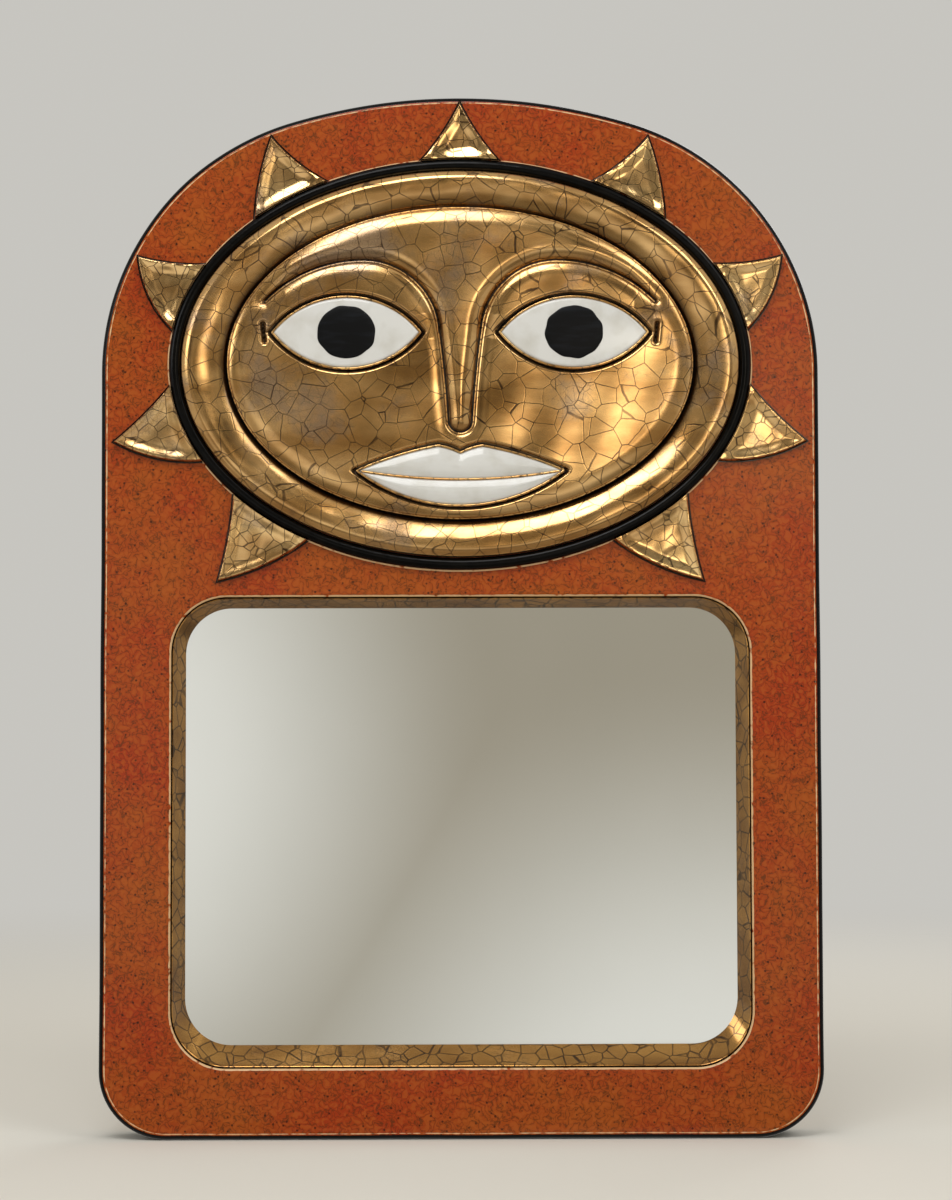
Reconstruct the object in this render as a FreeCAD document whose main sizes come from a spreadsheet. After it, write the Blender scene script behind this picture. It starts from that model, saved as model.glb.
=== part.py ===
import FreeCAD
import Part
import os
import re
import Sketcher

# An arched ceramic mirror frame with a sun face in relief, its mirror, and the wooden back that hangs it.
# Millimetres. X runs to the right, Z up, and the front looks along -Y.
# The origin is the middle of the flat base, halfway between the front face and the back rim.

DRIVING_SIZES = (
    ("frame_width", 402, "outer width"),
    ("frame_height", 582, "outer height"),
    ("crown_radius", 330, "radius of the arch at the top"),
    ("shoulder_radius", 148, "radius of the arch at the shoulders"),
    ("corner_radius", 38, "radius of the two lower corners"),
    ("edge_round", 3, "rounding of the outer front edge"),
    ("plate_thickness", 16, "ceramic behind the front face"),
    ("rim_width", 10, "ceramic rim round the back recess"),
    ("rim_proud", 6, "how far the rim stands behind the carrier panel"),
    ("stile_width", 41, "frame at each side of the window"),
    ("sill_height", 40.5, "frame below the window"),
    ("header_height", 283, "frame above the window"),
    ("window_radius", 30, "corner radius of the window"),
    ("liner_lip", 1, "thickness of the liner at the front face"),
    ("liner_gap", 0.2, "clearance between liner and frame"),
    ("reveal_side", 5.5, "slope of the liner at each side, seen from the front"),
    ("reveal_top", 4.4, "slope of the liner at the top"),
    ("reveal_sill", 10, "slope of the liner at the sill"),
    ("sight_radius", 26, "corner radius of the glass in sight"),
    ("glass_margin", 14, "glass hidden behind the liner and frame"),
    ("glass_thickness", 4, "mirror glass"),
    ("glass_corner", 8, "corner radius of the glass"),
    ("glass_gap", 1, "clearance round the glass in the carrier panel"),
    ("card_thickness", 4.8, "packing card behind the glass"),
    ("cover_thickness", 3.2, "hardboard cover behind the card"),
    ("carrier_gap", 0.5, "clearance between carrier panel and rim"),
    ("ring_side_margin", 38, "black bead in from each side of the frame"),
    ("ring_top_margin", 35.8, "black bead below the top of the frame"),
    ("ring_window_margin", 15.8, "black bead above the window"),
    ("bead_width", 7, "black bead across its section"),
    ("bead_height", 5, "black bead above the front face"),
    ("bead_round", 2.6, "rounding of the black bead"),
    ("bead_gap", 0.3, "clearance on both sides of the bead"),
    ("disc_height", 8.5, "lip of the sun disc above the front face"),
    ("disc_lip", 3.2, "width of the lip"),
    ("dish_floor", 4, "floor of the dish above the front face"),
    ("dish_margin", 2.2, "dish floor showing round the face"),
    ("face_side_margin", 32.6, "raised face in from each side of the bead"),
    ("face_top_margin", 27.8, "raised face in from the top and bottom of the bead"),
    ("drawn_half_width", 130.4, "half width of the face that its features are drawn for"),
    ("drawn_half_height", 87.9, "half height of the face that its features are drawn for"),
    ("face_rise", 5.5, "raised face above the dish floor"),
    ("face_round", 3.5, "rounding of the face edge"),
    ("feature_rise", 1.8, "brow, nose and lids above the raised face"),
    ("lid_round", 0.8, "rounding of the lids at the front"),
    ("lid_corner", 1.6, "rounding of the lids at their corners"),
    ("inlay_depth", 2.5, "depth of the eye and mouth recesses"),
    ("inlay_margin", 1.2, "open groove round the eyes and the mouth"),
    ("eye_offset", 63.4, "middle of each eye from the middle of the face"),
    ("eye_level", 16.8, "eye corners above the middle of the sun"),
    ("eye_half_width", 40.6, "corner to middle of an eye"),
    ("eye_upper", 19.6, "upper lid above the corners"),
    ("eye_lower", 19.8, "lower lid below the corners"),
    ("eye_thickness", 3.2, "white of the eye"),
    ("eye_round", 1.2, "rounding of the white"),
    ("pupil_half_width", 16.2, "pupil"),
    ("pupil_half_height", 14.8, "pupil"),
    ("pupil_thickness", 0.8, "pupil"),
    ("brow_crest_x", 54, "highest point of the brow line"),
    ("brow_crest_z", 57.5, "highest point of the brow line"),
    ("brow_end_x", 109, "outer end of the brow line"),
    ("brow_end_z", 34.5, "outer end of the brow line"),
    ("brow_root_x", 12, "where the brow turns into the nose"),
    ("brow_root_z", 21.5, "where the brow turns into the nose"),
    ("brow_groove", 1.6, "groove between brow and lid"),
    ("forehead_margin", 5, "edge of the raised face left round the forehead"),
    ("lid_margin", 3, "edge of the raised face left between lid and eye"),
    ("lid_end_height", 9, "height of the lid at its outer end"),
    ("lid_bow", 28.5, "bow of the upper edge of the lid"),
    ("nose_half_width", 6.6, "nose just above its tip"),
    ("nose_level", -32.5, "start of the round tip"),
    ("nose_tip", 6.5, "round tip below that level"),
    ("nose_waist", 0.6, "hollow of the sides of the nose"),
    ("mouth_half_width", 57, "corner to middle of the mouth"),
    ("mouth_level", -60.5, "corners of the mouth"),
    ("mouth_sag", 5, "parting below the corners"),
    ("lip_peak_x", 12.5, "peak of the upper lip"),
    ("lip_peak_z", -46.9, "peak of the upper lip"),
    ("lip_dip_z", -51, "dip between the peaks"),
    ("lip_swell", 1.4, "swell of the upper lip towards its corners"),
    ("lip_peak_swell", 0.6, "swell of the upper lip towards its dip"),
    ("lower_lip_sag", 19.2, "lower lip below the corners"),
    ("lip_inset", 4, "corners of the lips in from those of the mouth"),
    ("lower_lip_drop", 1.3, "corners of the lower lip below those of the upper lip"),
    ("lip_thickness", 3.8, "lips"),
    ("lip_end", 2, "height of each lip at its corners"),
    ("lip_corner", 0.8, "rounding of the lips at their corners"),
    ("lip_round", 0.6, "rounding of the lips at the front"),
    ("ray_thickness", 5, "rays above the front face"),
    ("ray_round", 0.8, "rounding of the rays"),
    ("ray_gap", 0.3, "clearance between rays and bead"),
    ("button_length", 30, "turn button, whole length"),
    ("button_width", 11, "turn button"),
    ("button_thickness", 2, "turn button"),
    ("button_tail", 8, "turn button behind its pivot"),
    ("button_play", 0.15, "clearance above and below a turn button"),
    ("button_spread", 125, "lower to upper turn buttons"),
    ("screw_radius", 1.75, "wood screws"),
    ("screw_depth", 10, "wood screws inside the carrier panel"),
    ("screw_head_radius", 3.5, "wood screws"),
    ("screw_head_height", 1.8, "wood screws"),
    ("screw_fit", 0.05, "clearance round a screw"),
    ("pivot_fit", 0.08, "running clearance of a turn button on its screw"),
    ("hanger_inset", 96, "each hanger in from the side of the frame"),
    ("hanger_drop", 102, "axis of the hanger rings below the top of the frame"),
    ("strap_width", 14, "hanger strap"),
    ("strap_length", 15.5, "hanger strap below the ring axis"),
    ("strap_thickness", 1.2, "hanger strap"),
    ("strap_screw_drop", 9.2, "strap screw below the ring axis"),
    ("wire_radius", 1.25, "hanger ring wire"),
    ("wire_fit", 0.15, "clearance of the wire in the strap eye"),
    ("ring_half_span", 10, "hanger ring, middle of the wire"),
    ("ring_corner", 2.4, "bends of the hanger ring"),
    ("ring_drop", 16, "hanger ring, axis to the start of its bow"),
)

# Each ray: where its base starts and ends on the bead and where its tip points, in degrees of the ellipse,
# how far the tip reaches past the bead, and how much its two sides swell (hollow where negative).
RAY_FIELDS = ("start", "end", "tip", "reach", "start_swell", "end_swell")
RAYS = {
    "top": (81.8, 98.2, 90, 29, -1.6, -1.6),
    "upper": (44.7, 63.3, 58.1, 32, 2, -2.2),
    "temple": (9, 29.6, 24.2, 31.5, 4.5, -1.6),
    "cheek": (-28.4, -5.4, -16.2, 37.5, 4.2, -1.2),
    "chin": (-58.8, -38.6, -49.2, 42, 3.2, -1.4),
}
LEFT = -1
RIGHT = 1
SIDES = {"left": LEFT, "right": RIGHT}

# Rise of a quarter circle above its chord, for a radius of one.
QUARTER_BOW = "(1 - sqrt(0.5))"

# How much further a pointed corner moves than the curves beside it when an outline grows.
POINT_GROWTH = 1.6

# Lengths below this count as none.
NEAR = 1e-4

# Places that several pieces share, as forward distances from the middle of the depth.
SHELL_DEPTH = "(plate_thickness + glass_thickness + card_thickness + cover_thickness + rim_proud)"
FRONT = f"({SHELL_DEPTH} / 2)"
SEAT = f"({FRONT} - plate_thickness)"
CARRIER_THICKNESS = "(glass_thickness + card_thickness + cover_thickness)"
CARRIER_BACK = f"({SEAT} - {CARRIER_THICKNESS})"
FACE_TOP = f"({FRONT} + dish_floor + face_rise)"
INLAY_FLOOR = f"({FACE_TOP} - inlay_depth)"
STRAP_EYE_RADIUS = "(wire_radius + wire_fit + strap_thickness)"
RING_AXIS = f"({CARRIER_BACK} - {STRAP_EYE_RADIUS})"
WINDOW_HALF = "(frame_width / 2 - stile_width)"
WINDOW_TOP = "(frame_height - header_height)"
SIGHT_HALF = f"({WINDOW_HALF} - reveal_side)"
SIGHT_BOTTOM = "(sill_height + reveal_sill)"
SIGHT_TOP = f"({WINDOW_TOP} - reveal_top)"
GLASS_HALF = f"({SIGHT_HALF} + glass_margin)"
GLASS_BOTTOM = f"({SIGHT_BOTTOM} - glass_margin)"
GLASS_TOP = f"({SIGHT_TOP} + glass_margin)"
PANEL_HALF = "(frame_width / 2 - rim_width - carrier_gap)"
BUTTON_PLACE = f"(({PANEL_HALF} + {GLASS_HALF} + glass_gap) / 2)"
BUTTON_ROWS = {
    "lower": f"(({GLASS_BOTTOM} + {GLASS_TOP} - button_spread) / 2)",
    "upper": f"(({GLASS_BOTTOM} + {GLASS_TOP} + button_spread) / 2)",
}
HANGER_OFFSET = "(frame_width / 2 - hanger_inset)"
HANGER_HEIGHT = "(frame_height - hanger_drop)"
RING_HALF_WIDTH = "(frame_width / 2 - ring_side_margin)"
RING_HALF_HEIGHT = "((header_height - ring_top_margin - ring_window_margin) / 2)"
SUN_HEIGHT = f"(frame_height - ring_top_margin - {RING_HALF_HEIGHT})"
DISC_HALF_WIDTH = f"({RING_HALF_WIDTH} - bead_width - bead_gap)"
DISC_HALF_HEIGHT = f"({RING_HALF_HEIGHT} - bead_width - bead_gap)"
FACE_HALF_WIDTH = f"({RING_HALF_WIDTH} - face_side_margin)"
FACE_HALF_HEIGHT = f"({RING_HALF_HEIGHT} - face_top_margin)"

# How much the features of the face stretch with it.
STRETCH = f"({FACE_HALF_WIDTH} / drawn_half_width)"
LIFT = f"({FACE_HALF_HEIGHT} / drawn_half_height)"
LIP_REACH = f"({STRETCH} * mouth_half_width - lip_inset)"

doc = FreeCAD.newDocument("framed_mirror")
sheet = doc.addObject("Spreadsheet::Sheet", "Sizes")
aliases = set()
pieces = {}


def fill_sheet():
    """Writes every driving size to its own named cell."""
    ray_sizes = []
    for ray, values in RAYS.items():
        for field, number in zip(RAY_FIELDS, values):
            ray_sizes.append((f"{ray}_ray_{field}", number, f"{ray} ray"))
    for row, (alias, number, meaning) in enumerate(list(DRIVING_SIZES) + ray_sizes, start=1):
        sheet.set(f"A{row}", meaning)
        sheet.set(f"B{row}", str(number))
        sheet.setAlias(f"B{row}", alias)
        aliases.add(alias)
    doc.recompute()


def formula(text):
    """Points each size named in the text at its cell."""
    def cell(match):
        word = match.group()
        return f"Sizes.{word}" if word in aliases else word
    return re.sub(r"[a-z][a-z_]*", cell, text)


def measure(text):
    """The present value of a formula."""
    return float(sheet.evalExpression(formula(text)))


def bind(thing, name, text):
    """Ties one property of a document object to a formula."""
    thing.setExpression(name, formula(text))


def new_body(label):
    """Starts a piece."""
    body = doc.addObject("PartDesign::Body", label)
    body.Label = label
    pieces[label] = body
    return body


def new_sketch(body, name, offset, plane="XZ_Plane"):
    """Starts a sketch on one of the piece's own planes, moved along that plane's normal.

    On the upright XZ plane the normal is -Y, so an offset there is a forward distance.
    """
    sketch = body.newObject("Sketcher::SketchObject", f"{body.Label}_{name}")
    support = [feature for feature in body.Origin.OriginFeatures if feature.Role == plane]
    sketch.AttachmentSupport = [(support[0], "")]
    sketch.MapMode = "FlatFace"
    bind(sketch, "AttachmentOffset.Base.z", offset)
    return sketch


def constrain(sketch, kind, *places, text=None):
    """Adds one constraint, driven by a formula where one is given."""
    if text is None:
        sketch.addConstraint(Sketcher.Constraint(kind, *places))
        return
    index = sketch.addConstraint(Sketcher.Constraint(kind, *places, measure(text)))
    bind(sketch, f"Constraints[{index}]", text)


def place_point(sketch, shape, end, across, up):
    """Holds one point of a sketch shape at two formulas from the sketch origin."""
    constrain(sketch, "DistanceX", -1, 1, shape, end, text=across)
    constrain(sketch, "DistanceY", -1, 1, shape, end, text=up)


def draw_loop(sketch, corners, bulges):
    """Draws a closed loop of lines and arcs.

    Each corner is a pair of formulas. Each bulge belongs to the run that leaves its corner: None is straight,
    and a formula is the rise of an arc, to the right of the travel where it is positive.
    """
    points = [FreeCAD.Vector(measure(across), measure(up), 0) for across, up in corners]
    runs = []
    for index, bulge in enumerate(bulges):
        start = points[index]
        end = points[(index + 1) % len(points)]
        if bulge is None:
            shape = sketch.addGeometry(Part.LineSegment(start, end), False)
        else:
            chord = end - start
            right = FreeCAD.Vector(chord.y, -chord.x, 0).normalize()
            middle = (start + end) * 0.5 + right * measure(bulge)
            shape = sketch.addGeometry(Part.Arc(start, middle, end), False)
        to_first, to_last = (sketch.getPoint(shape, place).distanceToPoint(start) for place in (1, 2))
        runs.append((shape, 1, 2) if to_first < to_last else (shape, 2, 1))
    for index, (shape, first, last) in enumerate(runs):
        next_shape, next_first, _ = runs[(index + 1) % len(runs)]
        constrain(sketch, "Coincident", shape, last, next_shape, next_first)
    for index, (shape, first, _) in enumerate(runs):
        place_point(sketch, shape, first, *corners[index])
        if bulges[index] is not None:
            across, up = corners[index]
            next_across, next_up = corners[(index + 1) % len(corners)]
            chord_squared = f"((({next_across}) - ({across}))^2 + (({next_up}) - ({up}))^2)"
            rise = f"abs({bulges[index]})"
            constrain(sketch, "Radius", shape, text=f"({chord_squared} + 4 * {rise}^2) / (8 * {rise})")


def draw_circle(sketch, across, up, radius):
    """Draws a circle."""
    centre = FreeCAD.Vector(measure(across), measure(up), 0)
    shape = sketch.addGeometry(Part.Circle(centre, FreeCAD.Vector(0, 0, 1), measure(radius)), False)
    place_point(sketch, shape, 3, across, up)
    constrain(sketch, "Radius", shape, text=radius)


def draw_ellipse(sketch, half_width, half_height, across, up):
    """Draws an ellipse, lying or standing."""
    centre = FreeCAD.Vector(measure(across), measure(up), 0)
    side = centre + FreeCAD.Vector(measure(half_width), 0, 0)
    top = centre + FreeCAD.Vector(0, measure(half_height), 0)
    lies = measure(half_width) >= measure(half_height)
    ends = (side, top) if lies else (top, side)
    shape = sketch.addGeometry(Part.Ellipse(*ends, centre), False)
    sketch.exposeInternalGeometry(shape)
    long_axis = shape + 1
    short_axis = shape + 2
    place_point(sketch, shape, 3, across, up)
    constrain(sketch, "Horizontal" if lies else "Vertical", long_axis)
    constrain(sketch, "Distance", long_axis, text=f"2 * {half_width if lies else half_height}")
    constrain(sketch, "Distance", short_axis, text=f"2 * {half_height if lies else half_width}")


def draw_sun_ellipse(sketch, half_width, half_height):
    """Draws an ellipse about the middle of the sun."""
    draw_ellipse(sketch, half_width, half_height, "0", SUN_HEIGHT)


def draw_rectangle(sketch, half_width, bottom, top, radius):
    """Draws an upright rectangle with round corners, centred from side to side."""
    corner_bow = f"({QUARTER_BOW} * {radius})"
    inner = f"({half_width} - {radius})"
    low = f"({bottom} + {radius})"
    high = f"({top} - {radius})"
    corners = (
        (f"-{inner}", bottom), (inner, bottom), (half_width, low), (half_width, high),
        (inner, top), (f"-{inner}", top), (f"-{half_width}", high), (f"-{half_width}", low),
    )
    draw_loop(sketch, corners, (None, corner_bow) * 4)


def draw_arch(sketch, inset):
    """Draws the outline of the frame, moved inwards: a flat base, upright sides and a three-centred arch."""
    half = f"(frame_width / 2 - {inset})"
    corner = f"(corner_radius - {inset})"
    shoulder = f"(shoulder_radius - {inset})"
    crown = f"(crown_radius - {inset})"
    reach = "(frame_width / 2 - shoulder_radius)"
    span = "(crown_radius - shoulder_radius)"
    lift = f"sqrt({span}^2 - {reach}^2)"
    crown_centre = "(frame_height - crown_radius)"
    spring = f"({crown_centre} + {lift})"
    meet_across = f"({crown} * {reach} / {span})"
    meet_up = f"({crown_centre} + {crown} * {lift} / {span})"
    corner_bow = f"({QUARTER_BOW} * {corner})"
    shoulder_chord = f"sqrt(({half} - {meet_across})^2 + ({meet_up} - {spring})^2)"
    shoulder_bow = f"({shoulder} - sqrt({shoulder}^2 - {shoulder_chord}^2 / 4))"
    crown_bow = f"({crown} - sqrt({crown}^2 - {meet_across}^2))"
    corners = (
        (f"-({half} - {corner})", inset), (f"({half} - {corner})", inset), (half, f"({inset} + {corner})"),
        (half, spring), (meet_across, meet_up), (f"-{meet_across}", meet_up),
        (f"-{half}", spring), (f"-{half}", f"({inset} + {corner})"),
    )
    bulges = (None, corner_bow, None, shoulder_bow, crown_bow, shoulder_bow, None, corner_bow)
    draw_loop(sketch, corners, bulges)


def pad(body, sketch, length, backwards=False):
    """Raises a sketch along its normal, or against it."""
    feature = body.newObject("PartDesign::Pad", f"{sketch.Label}_pad")
    feature.Profile = sketch
    feature.Reversed = backwards
    bind(feature, "Length", length)
    return feature


def pocket(body, sketch, length, forwards=False):
    """Cuts a sketch against its normal, or along it, and makes sure that the cut met the piece."""
    doc.recompute()
    before = body.Shape.Volume
    feature = body.newObject("PartDesign::Pocket", f"{sketch.Label}_pocket")
    feature.Profile = sketch
    feature.Reversed = forwards
    bind(feature, "Length", length)
    doc.recompute()
    if body.Shape.Volume >= before:
        raise RuntimeError(f"{feature.Label} cuts nothing")
    return feature


def round_edges(body, radius, chosen):
    """Rounds the edges of a piece that the test picks."""
    doc.recompute()
    base = body.Tip
    names = [f"Edge{number}" for number, edge in enumerate(base.Shape.Edges, start=1) if chosen(edge)]
    feature = body.newObject("PartDesign::Fillet", f"{body.Label}_round")
    feature.Base = (base, names)
    bind(feature, "Radius", radius)
    return feature


def lies_at(edge, forward):
    """Tells whether an edge lies in the upright plane at a forward distance."""
    box = edge.BoundBox
    return abs(box.YMin + measure(forward)) < NEAR and abs(box.YMax + measure(forward)) < NEAR


def runs_through(edge):
    """Tells whether an edge runs straight from front to back."""
    return edge.BoundBox.XLength < NEAR and edge.BoundBox.ZLength < NEAR


def round_front(body, forward, radius):
    """Rounds every edge of a piece's front face."""
    return round_edges(body, radius, lambda edge: lies_at(edge, forward))


def frame_body():
    """The ceramic frame: a thick face with the window, and a rim round the recess at the back."""
    body = new_body("frame_body")
    outline = new_sketch(body, "outline", f"-{FRONT}")
    draw_arch(outline, "0")
    pad(body, outline, SHELL_DEPTH)
    recess = new_sketch(body, "recess", SEAT)
    draw_arch(recess, "rim_width")
    pocket(body, recess, f"{CARRIER_THICKNESS} + rim_proud")
    round_front(body, FRONT, "edge_round")
    window = new_sketch(body, "window", FRONT)
    draw_rectangle(window, f"({WINDOW_HALF} + liner_lip)", "(sill_height - liner_lip)",
                   f"({WINDOW_TOP} + liner_lip)", "(window_radius + liner_lip)")
    pocket(body, window, "plate_thickness")


def window_liner():
    """The sloping gold reveal between the front face and the glass."""
    body = new_body("window_liner")
    wall = "(liner_lip - liner_gap)"
    outer = new_sketch(body, "outer", SEAT)
    draw_rectangle(outer, f"({WINDOW_HALF} + {wall})", f"(sill_height - {wall})",
                   f"({WINDOW_TOP} + {wall})", f"(window_radius + {wall})")
    pad(body, outer, "plate_thickness")
    opening = new_sketch(body, "opening", FRONT)
    draw_rectangle(opening, WINDOW_HALF, "sill_height", WINDOW_TOP, "window_radius")
    sight = new_sketch(body, "sight", SEAT)
    draw_rectangle(sight, SIGHT_HALF, SIGHT_BOTTOM, SIGHT_TOP, "sight_radius")
    slope = body.newObject("PartDesign::SubtractiveLoft", "window_liner_slope")
    slope.Profile = opening
    slope.Sections = [sight]
    slope.Ruled = True


def sheet_behind_window(label, front, thickness):
    """A flat sheet of the size of the glass."""
    body = new_body(label)
    outline = new_sketch(body, "outline", front)
    draw_rectangle(outline, GLASS_HALF, GLASS_BOTTOM, GLASS_TOP, "glass_corner")
    pad(body, outline, thickness, backwards=True)


def button_places():
    """The pivots of the turn buttons."""
    for row, height in BUTTON_ROWS.items():
        for name, side in SIDES.items():
            yield f"turn_button_{row}_{name}", side, f"{side} * {BUTTON_PLACE}", height


def hanger_places():
    """The middle of each hanger."""
    for name, side in SIDES.items():
        yield name, f"{side} * {HANGER_OFFSET}"


def carrier_panel():
    """The plywood panel in the back recess, open behind the glass and drilled for every screw."""
    body = new_body("carrier_panel")
    outline = new_sketch(body, "outline", CARRIER_BACK)
    draw_arch(outline, "(rim_width + carrier_gap)")
    pad(body, outline, CARRIER_THICKNESS)
    opening = new_sketch(body, "opening", CARRIER_BACK)
    draw_rectangle(opening, f"({GLASS_HALF} + glass_gap)", f"({GLASS_BOTTOM} - glass_gap)",
                   f"({GLASS_TOP} + glass_gap)", "(glass_corner + glass_gap)")
    pocket(body, opening, CARRIER_THICKNESS, forwards=True)
    holes = new_sketch(body, "holes", CARRIER_BACK)
    for _, _, across, up in button_places():
        draw_circle(holes, across, up, "(screw_radius + screw_fit)")
    for _, across in hanger_places():
        draw_circle(holes, across, f"({HANGER_HEIGHT} - strap_screw_drop)", "(screw_radius + screw_fit)")
    pocket(body, holes, "screw_depth + screw_fit", forwards=True)


def sun_disc():
    """The gold disc: a raised lip round a sloping dish with a flat floor."""
    body = new_body("sun_disc")
    outline = new_sketch(body, "outline", FRONT)
    draw_sun_ellipse(outline, DISC_HALF_WIDTH, DISC_HALF_HEIGHT)
    pad(body, outline, "disc_height")
    lip = new_sketch(body, "lip", f"{FRONT} + disc_height")
    draw_sun_ellipse(lip, f"({DISC_HALF_WIDTH} - disc_lip)", f"({DISC_HALF_HEIGHT} - disc_lip)")
    floor = new_sketch(body, "floor", f"{FRONT} + dish_floor")
    draw_sun_ellipse(floor, f"({FACE_HALF_WIDTH} + dish_margin)", f"({FACE_HALF_HEIGHT} + dish_margin)")
    dish = body.newObject("PartDesign::SubtractiveLoft", "sun_disc_dish")
    dish.Profile = lip
    dish.Sections = [floor]
    dish.Ruled = True


def bead_ring():
    """The black bead round the gold disc."""
    body = new_body("bead_ring")
    section = new_sketch(body, "outline", FRONT)
    draw_sun_ellipse(section, RING_HALF_WIDTH, RING_HALF_HEIGHT)
    draw_sun_ellipse(section, f"({RING_HALF_WIDTH} - bead_width)", f"({RING_HALF_HEIGHT} - bead_width)")
    pad(body, section, "bead_height")
    round_front(body, f"({FRONT} + bead_height)", "bead_round")


def on_face(across, up):
    """A point of the face, from the middle of the sun, that stretches with the face."""
    return f"({STRETCH} * ({across}))", f"({SUN_HEIGHT} + {LIFT} * ({up}))"


def level_bow(foot, crest):
    """The rise of an arc from a foot up to a crest where it runs level."""
    across = f"abs({crest[0]} - {foot[0]})"
    up = f"({crest[1]} - {foot[1]})"
    chord = f"sqrt({across}^2 + {up}^2)"
    return f"({chord} * ({chord} - {across}) / (2 * {up}))"


def draw_eye(sketch, side, grow):
    """Draws the lens outline of one eye, larger all round by a formula."""
    middle, level = on_face(f"{side} * eye_offset", "eye_level")
    half = f"({STRETCH} * eye_half_width + {POINT_GROWTH} * {grow})"
    corners = ((f"({middle} - {half})", level), (f"({middle} + {half})", level))
    draw_loop(sketch, corners, (f"({LIFT} * eye_lower + {grow})", f"({LIFT} * eye_upper + {grow})"))


def draw_mouth(sketch, grow):
    """Draws the outline of both lips together, larger all round by a formula."""
    corner, level = on_face("mouth_half_width", "mouth_level")
    peak_across, peak = on_face("lip_peak_x", "lip_peak_z")
    _, dip = on_face("0", "lip_dip_z")
    reach = f"({corner} + {POINT_GROWTH} * {grow})"
    peak_up = f"({peak} + {grow})"
    corners = (
        (f"-{reach}", level), (reach, level),
        (peak_across, peak_up), ("0", f"({dip} + {grow})"), (f"-{peak_across}", peak_up),
    )
    sag = f"({LIFT} * lower_lip_sag + {grow})"
    draw_loop(sketch, corners, (sag, "lip_swell", "lip_peak_swell", "lip_peak_swell", "lip_swell"))


def face_plate():
    """The raised oval of the face, with recesses for the eyes and the mouth."""
    body = new_body("face_plate")
    outline = new_sketch(body, "outline", f"{FRONT} + dish_floor")
    draw_sun_ellipse(outline, FACE_HALF_WIDTH, FACE_HALF_HEIGHT)
    pad(body, outline, "face_rise")
    round_front(body, FACE_TOP, "face_round")
    recesses = new_sketch(body, "recesses", FACE_TOP)
    for side in SIDES.values():
        draw_eye(recesses, side, "inlay_margin")
    draw_mouth(recesses, "inlay_margin")
    pocket(body, recesses, "inlay_depth")


def brow_and_nose():
    """The forehead above the brow lines and the nose below it, in one raised piece."""
    body = new_body("brow_and_nose")
    outline = new_sketch(body, "outline", FACE_TOP)
    above = f"({SUN_HEIGHT} + {FACE_HALF_HEIGHT})"
    brow_end = on_face("brow_end_x", "brow_end_z")
    right = (
        on_face("nose_half_width", "nose_level"),
        on_face("brow_root_x", "brow_root_z"),
        on_face("brow_crest_x", "brow_crest_z"),
        brow_end,
        (brow_end[0], above),
    )
    left = tuple((f"-{across}", up) for across, up in reversed(right))
    _, root, crest, end, _ = right
    inner_bow = f"(-{level_bow(root, crest)})"
    outer_bow = f"(-{level_bow(end, crest)})"
    rise = ("-nose_waist", inner_bow, outer_bow, None)
    fall = (None, outer_bow, inner_bow, "-nose_waist")
    tip = (on_face("0", "nose_level - nose_tip"),)
    tip_bow = f"({QUARTER_BOW} * {STRETCH} * nose_tip)"
    draw_loop(outline, right + left + tip, rise + (None,) + fall + (tip_bow, tip_bow))
    pad(body, outline, "feature_rise")
    trim = new_sketch(body, "trim", FACE_TOP)
    draw_rectangle(trim, FACE_HALF_WIDTH, f"({SUN_HEIGHT} - {FACE_HALF_HEIGHT})",
                   f"({above} + forehead_margin)", "forehead_margin")
    draw_sun_ellipse(trim, f"({FACE_HALF_WIDTH} - forehead_margin)",
                     f"({FACE_HALF_HEIGHT} - forehead_margin)")
    pocket(body, trim, "feature_rise", forwards=True)


def eyelid(name, side):
    """The raised crescent between one brow line and its eye."""
    body = new_body(f"eyelid_{name}")
    outline = new_sketch(body, "outline", FACE_TOP)
    level = "eye_level + lid_margin"
    inner = f"{side} * (eye_offset - eye_half_width - lid_margin)"
    outer = f"{side} * (eye_offset + eye_half_width + lid_margin)"
    corners = (
        on_face(f"{side} * (brow_root_x + brow_groove)", "brow_root_z + brow_groove"),
        on_face(inner, level),
        on_face(outer, level),
        on_face(outer, f"{level} + lid_end_height"),
    )
    lower_edge = f"({-side} * {LIFT} * eye_upper)"
    upper_edge = f"({side} * {LIFT} * lid_bow)"
    draw_loop(outline, corners, (None, lower_edge, None, upper_edge))
    pad(body, outline, "feature_rise")
    round_edges(body, "lid_corner", runs_through)
    round_front(body, f"({FACE_TOP} + feature_rise)", "lid_round")


def eye(name, side):
    """The white of one eye and the pupil on it."""
    white = new_body(f"eye_{name}")
    outline = new_sketch(white, "outline", INLAY_FLOOR)
    draw_eye(outline, side, "0")
    pad(white, outline, "eye_thickness")
    round_front(white, f"({INLAY_FLOOR} + eye_thickness)", "eye_round")
    pupil = new_body(f"pupil_{name}")
    disc = new_sketch(pupil, "outline", f"{INLAY_FLOOR} + eye_thickness")
    draw_ellipse(disc, f"({STRETCH} * pupil_half_width)", f"({LIFT} * pupil_half_height)",
                 *on_face(f"{side} * eye_offset", "eye_level"))
    pad(pupil, disc, "pupil_thickness")


def lip(label, corners, bulges):
    """One lip, with rounded ends and a rounded front."""
    body = new_body(label)
    outline = new_sketch(body, "outline", INLAY_FLOOR)
    draw_loop(outline, corners, bulges)
    pad(body, outline, "lip_thickness")
    round_edges(body, "lip_corner", runs_through)
    round_front(body, f"({INLAY_FLOOR} + lip_thickness)", "lip_round")


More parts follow.
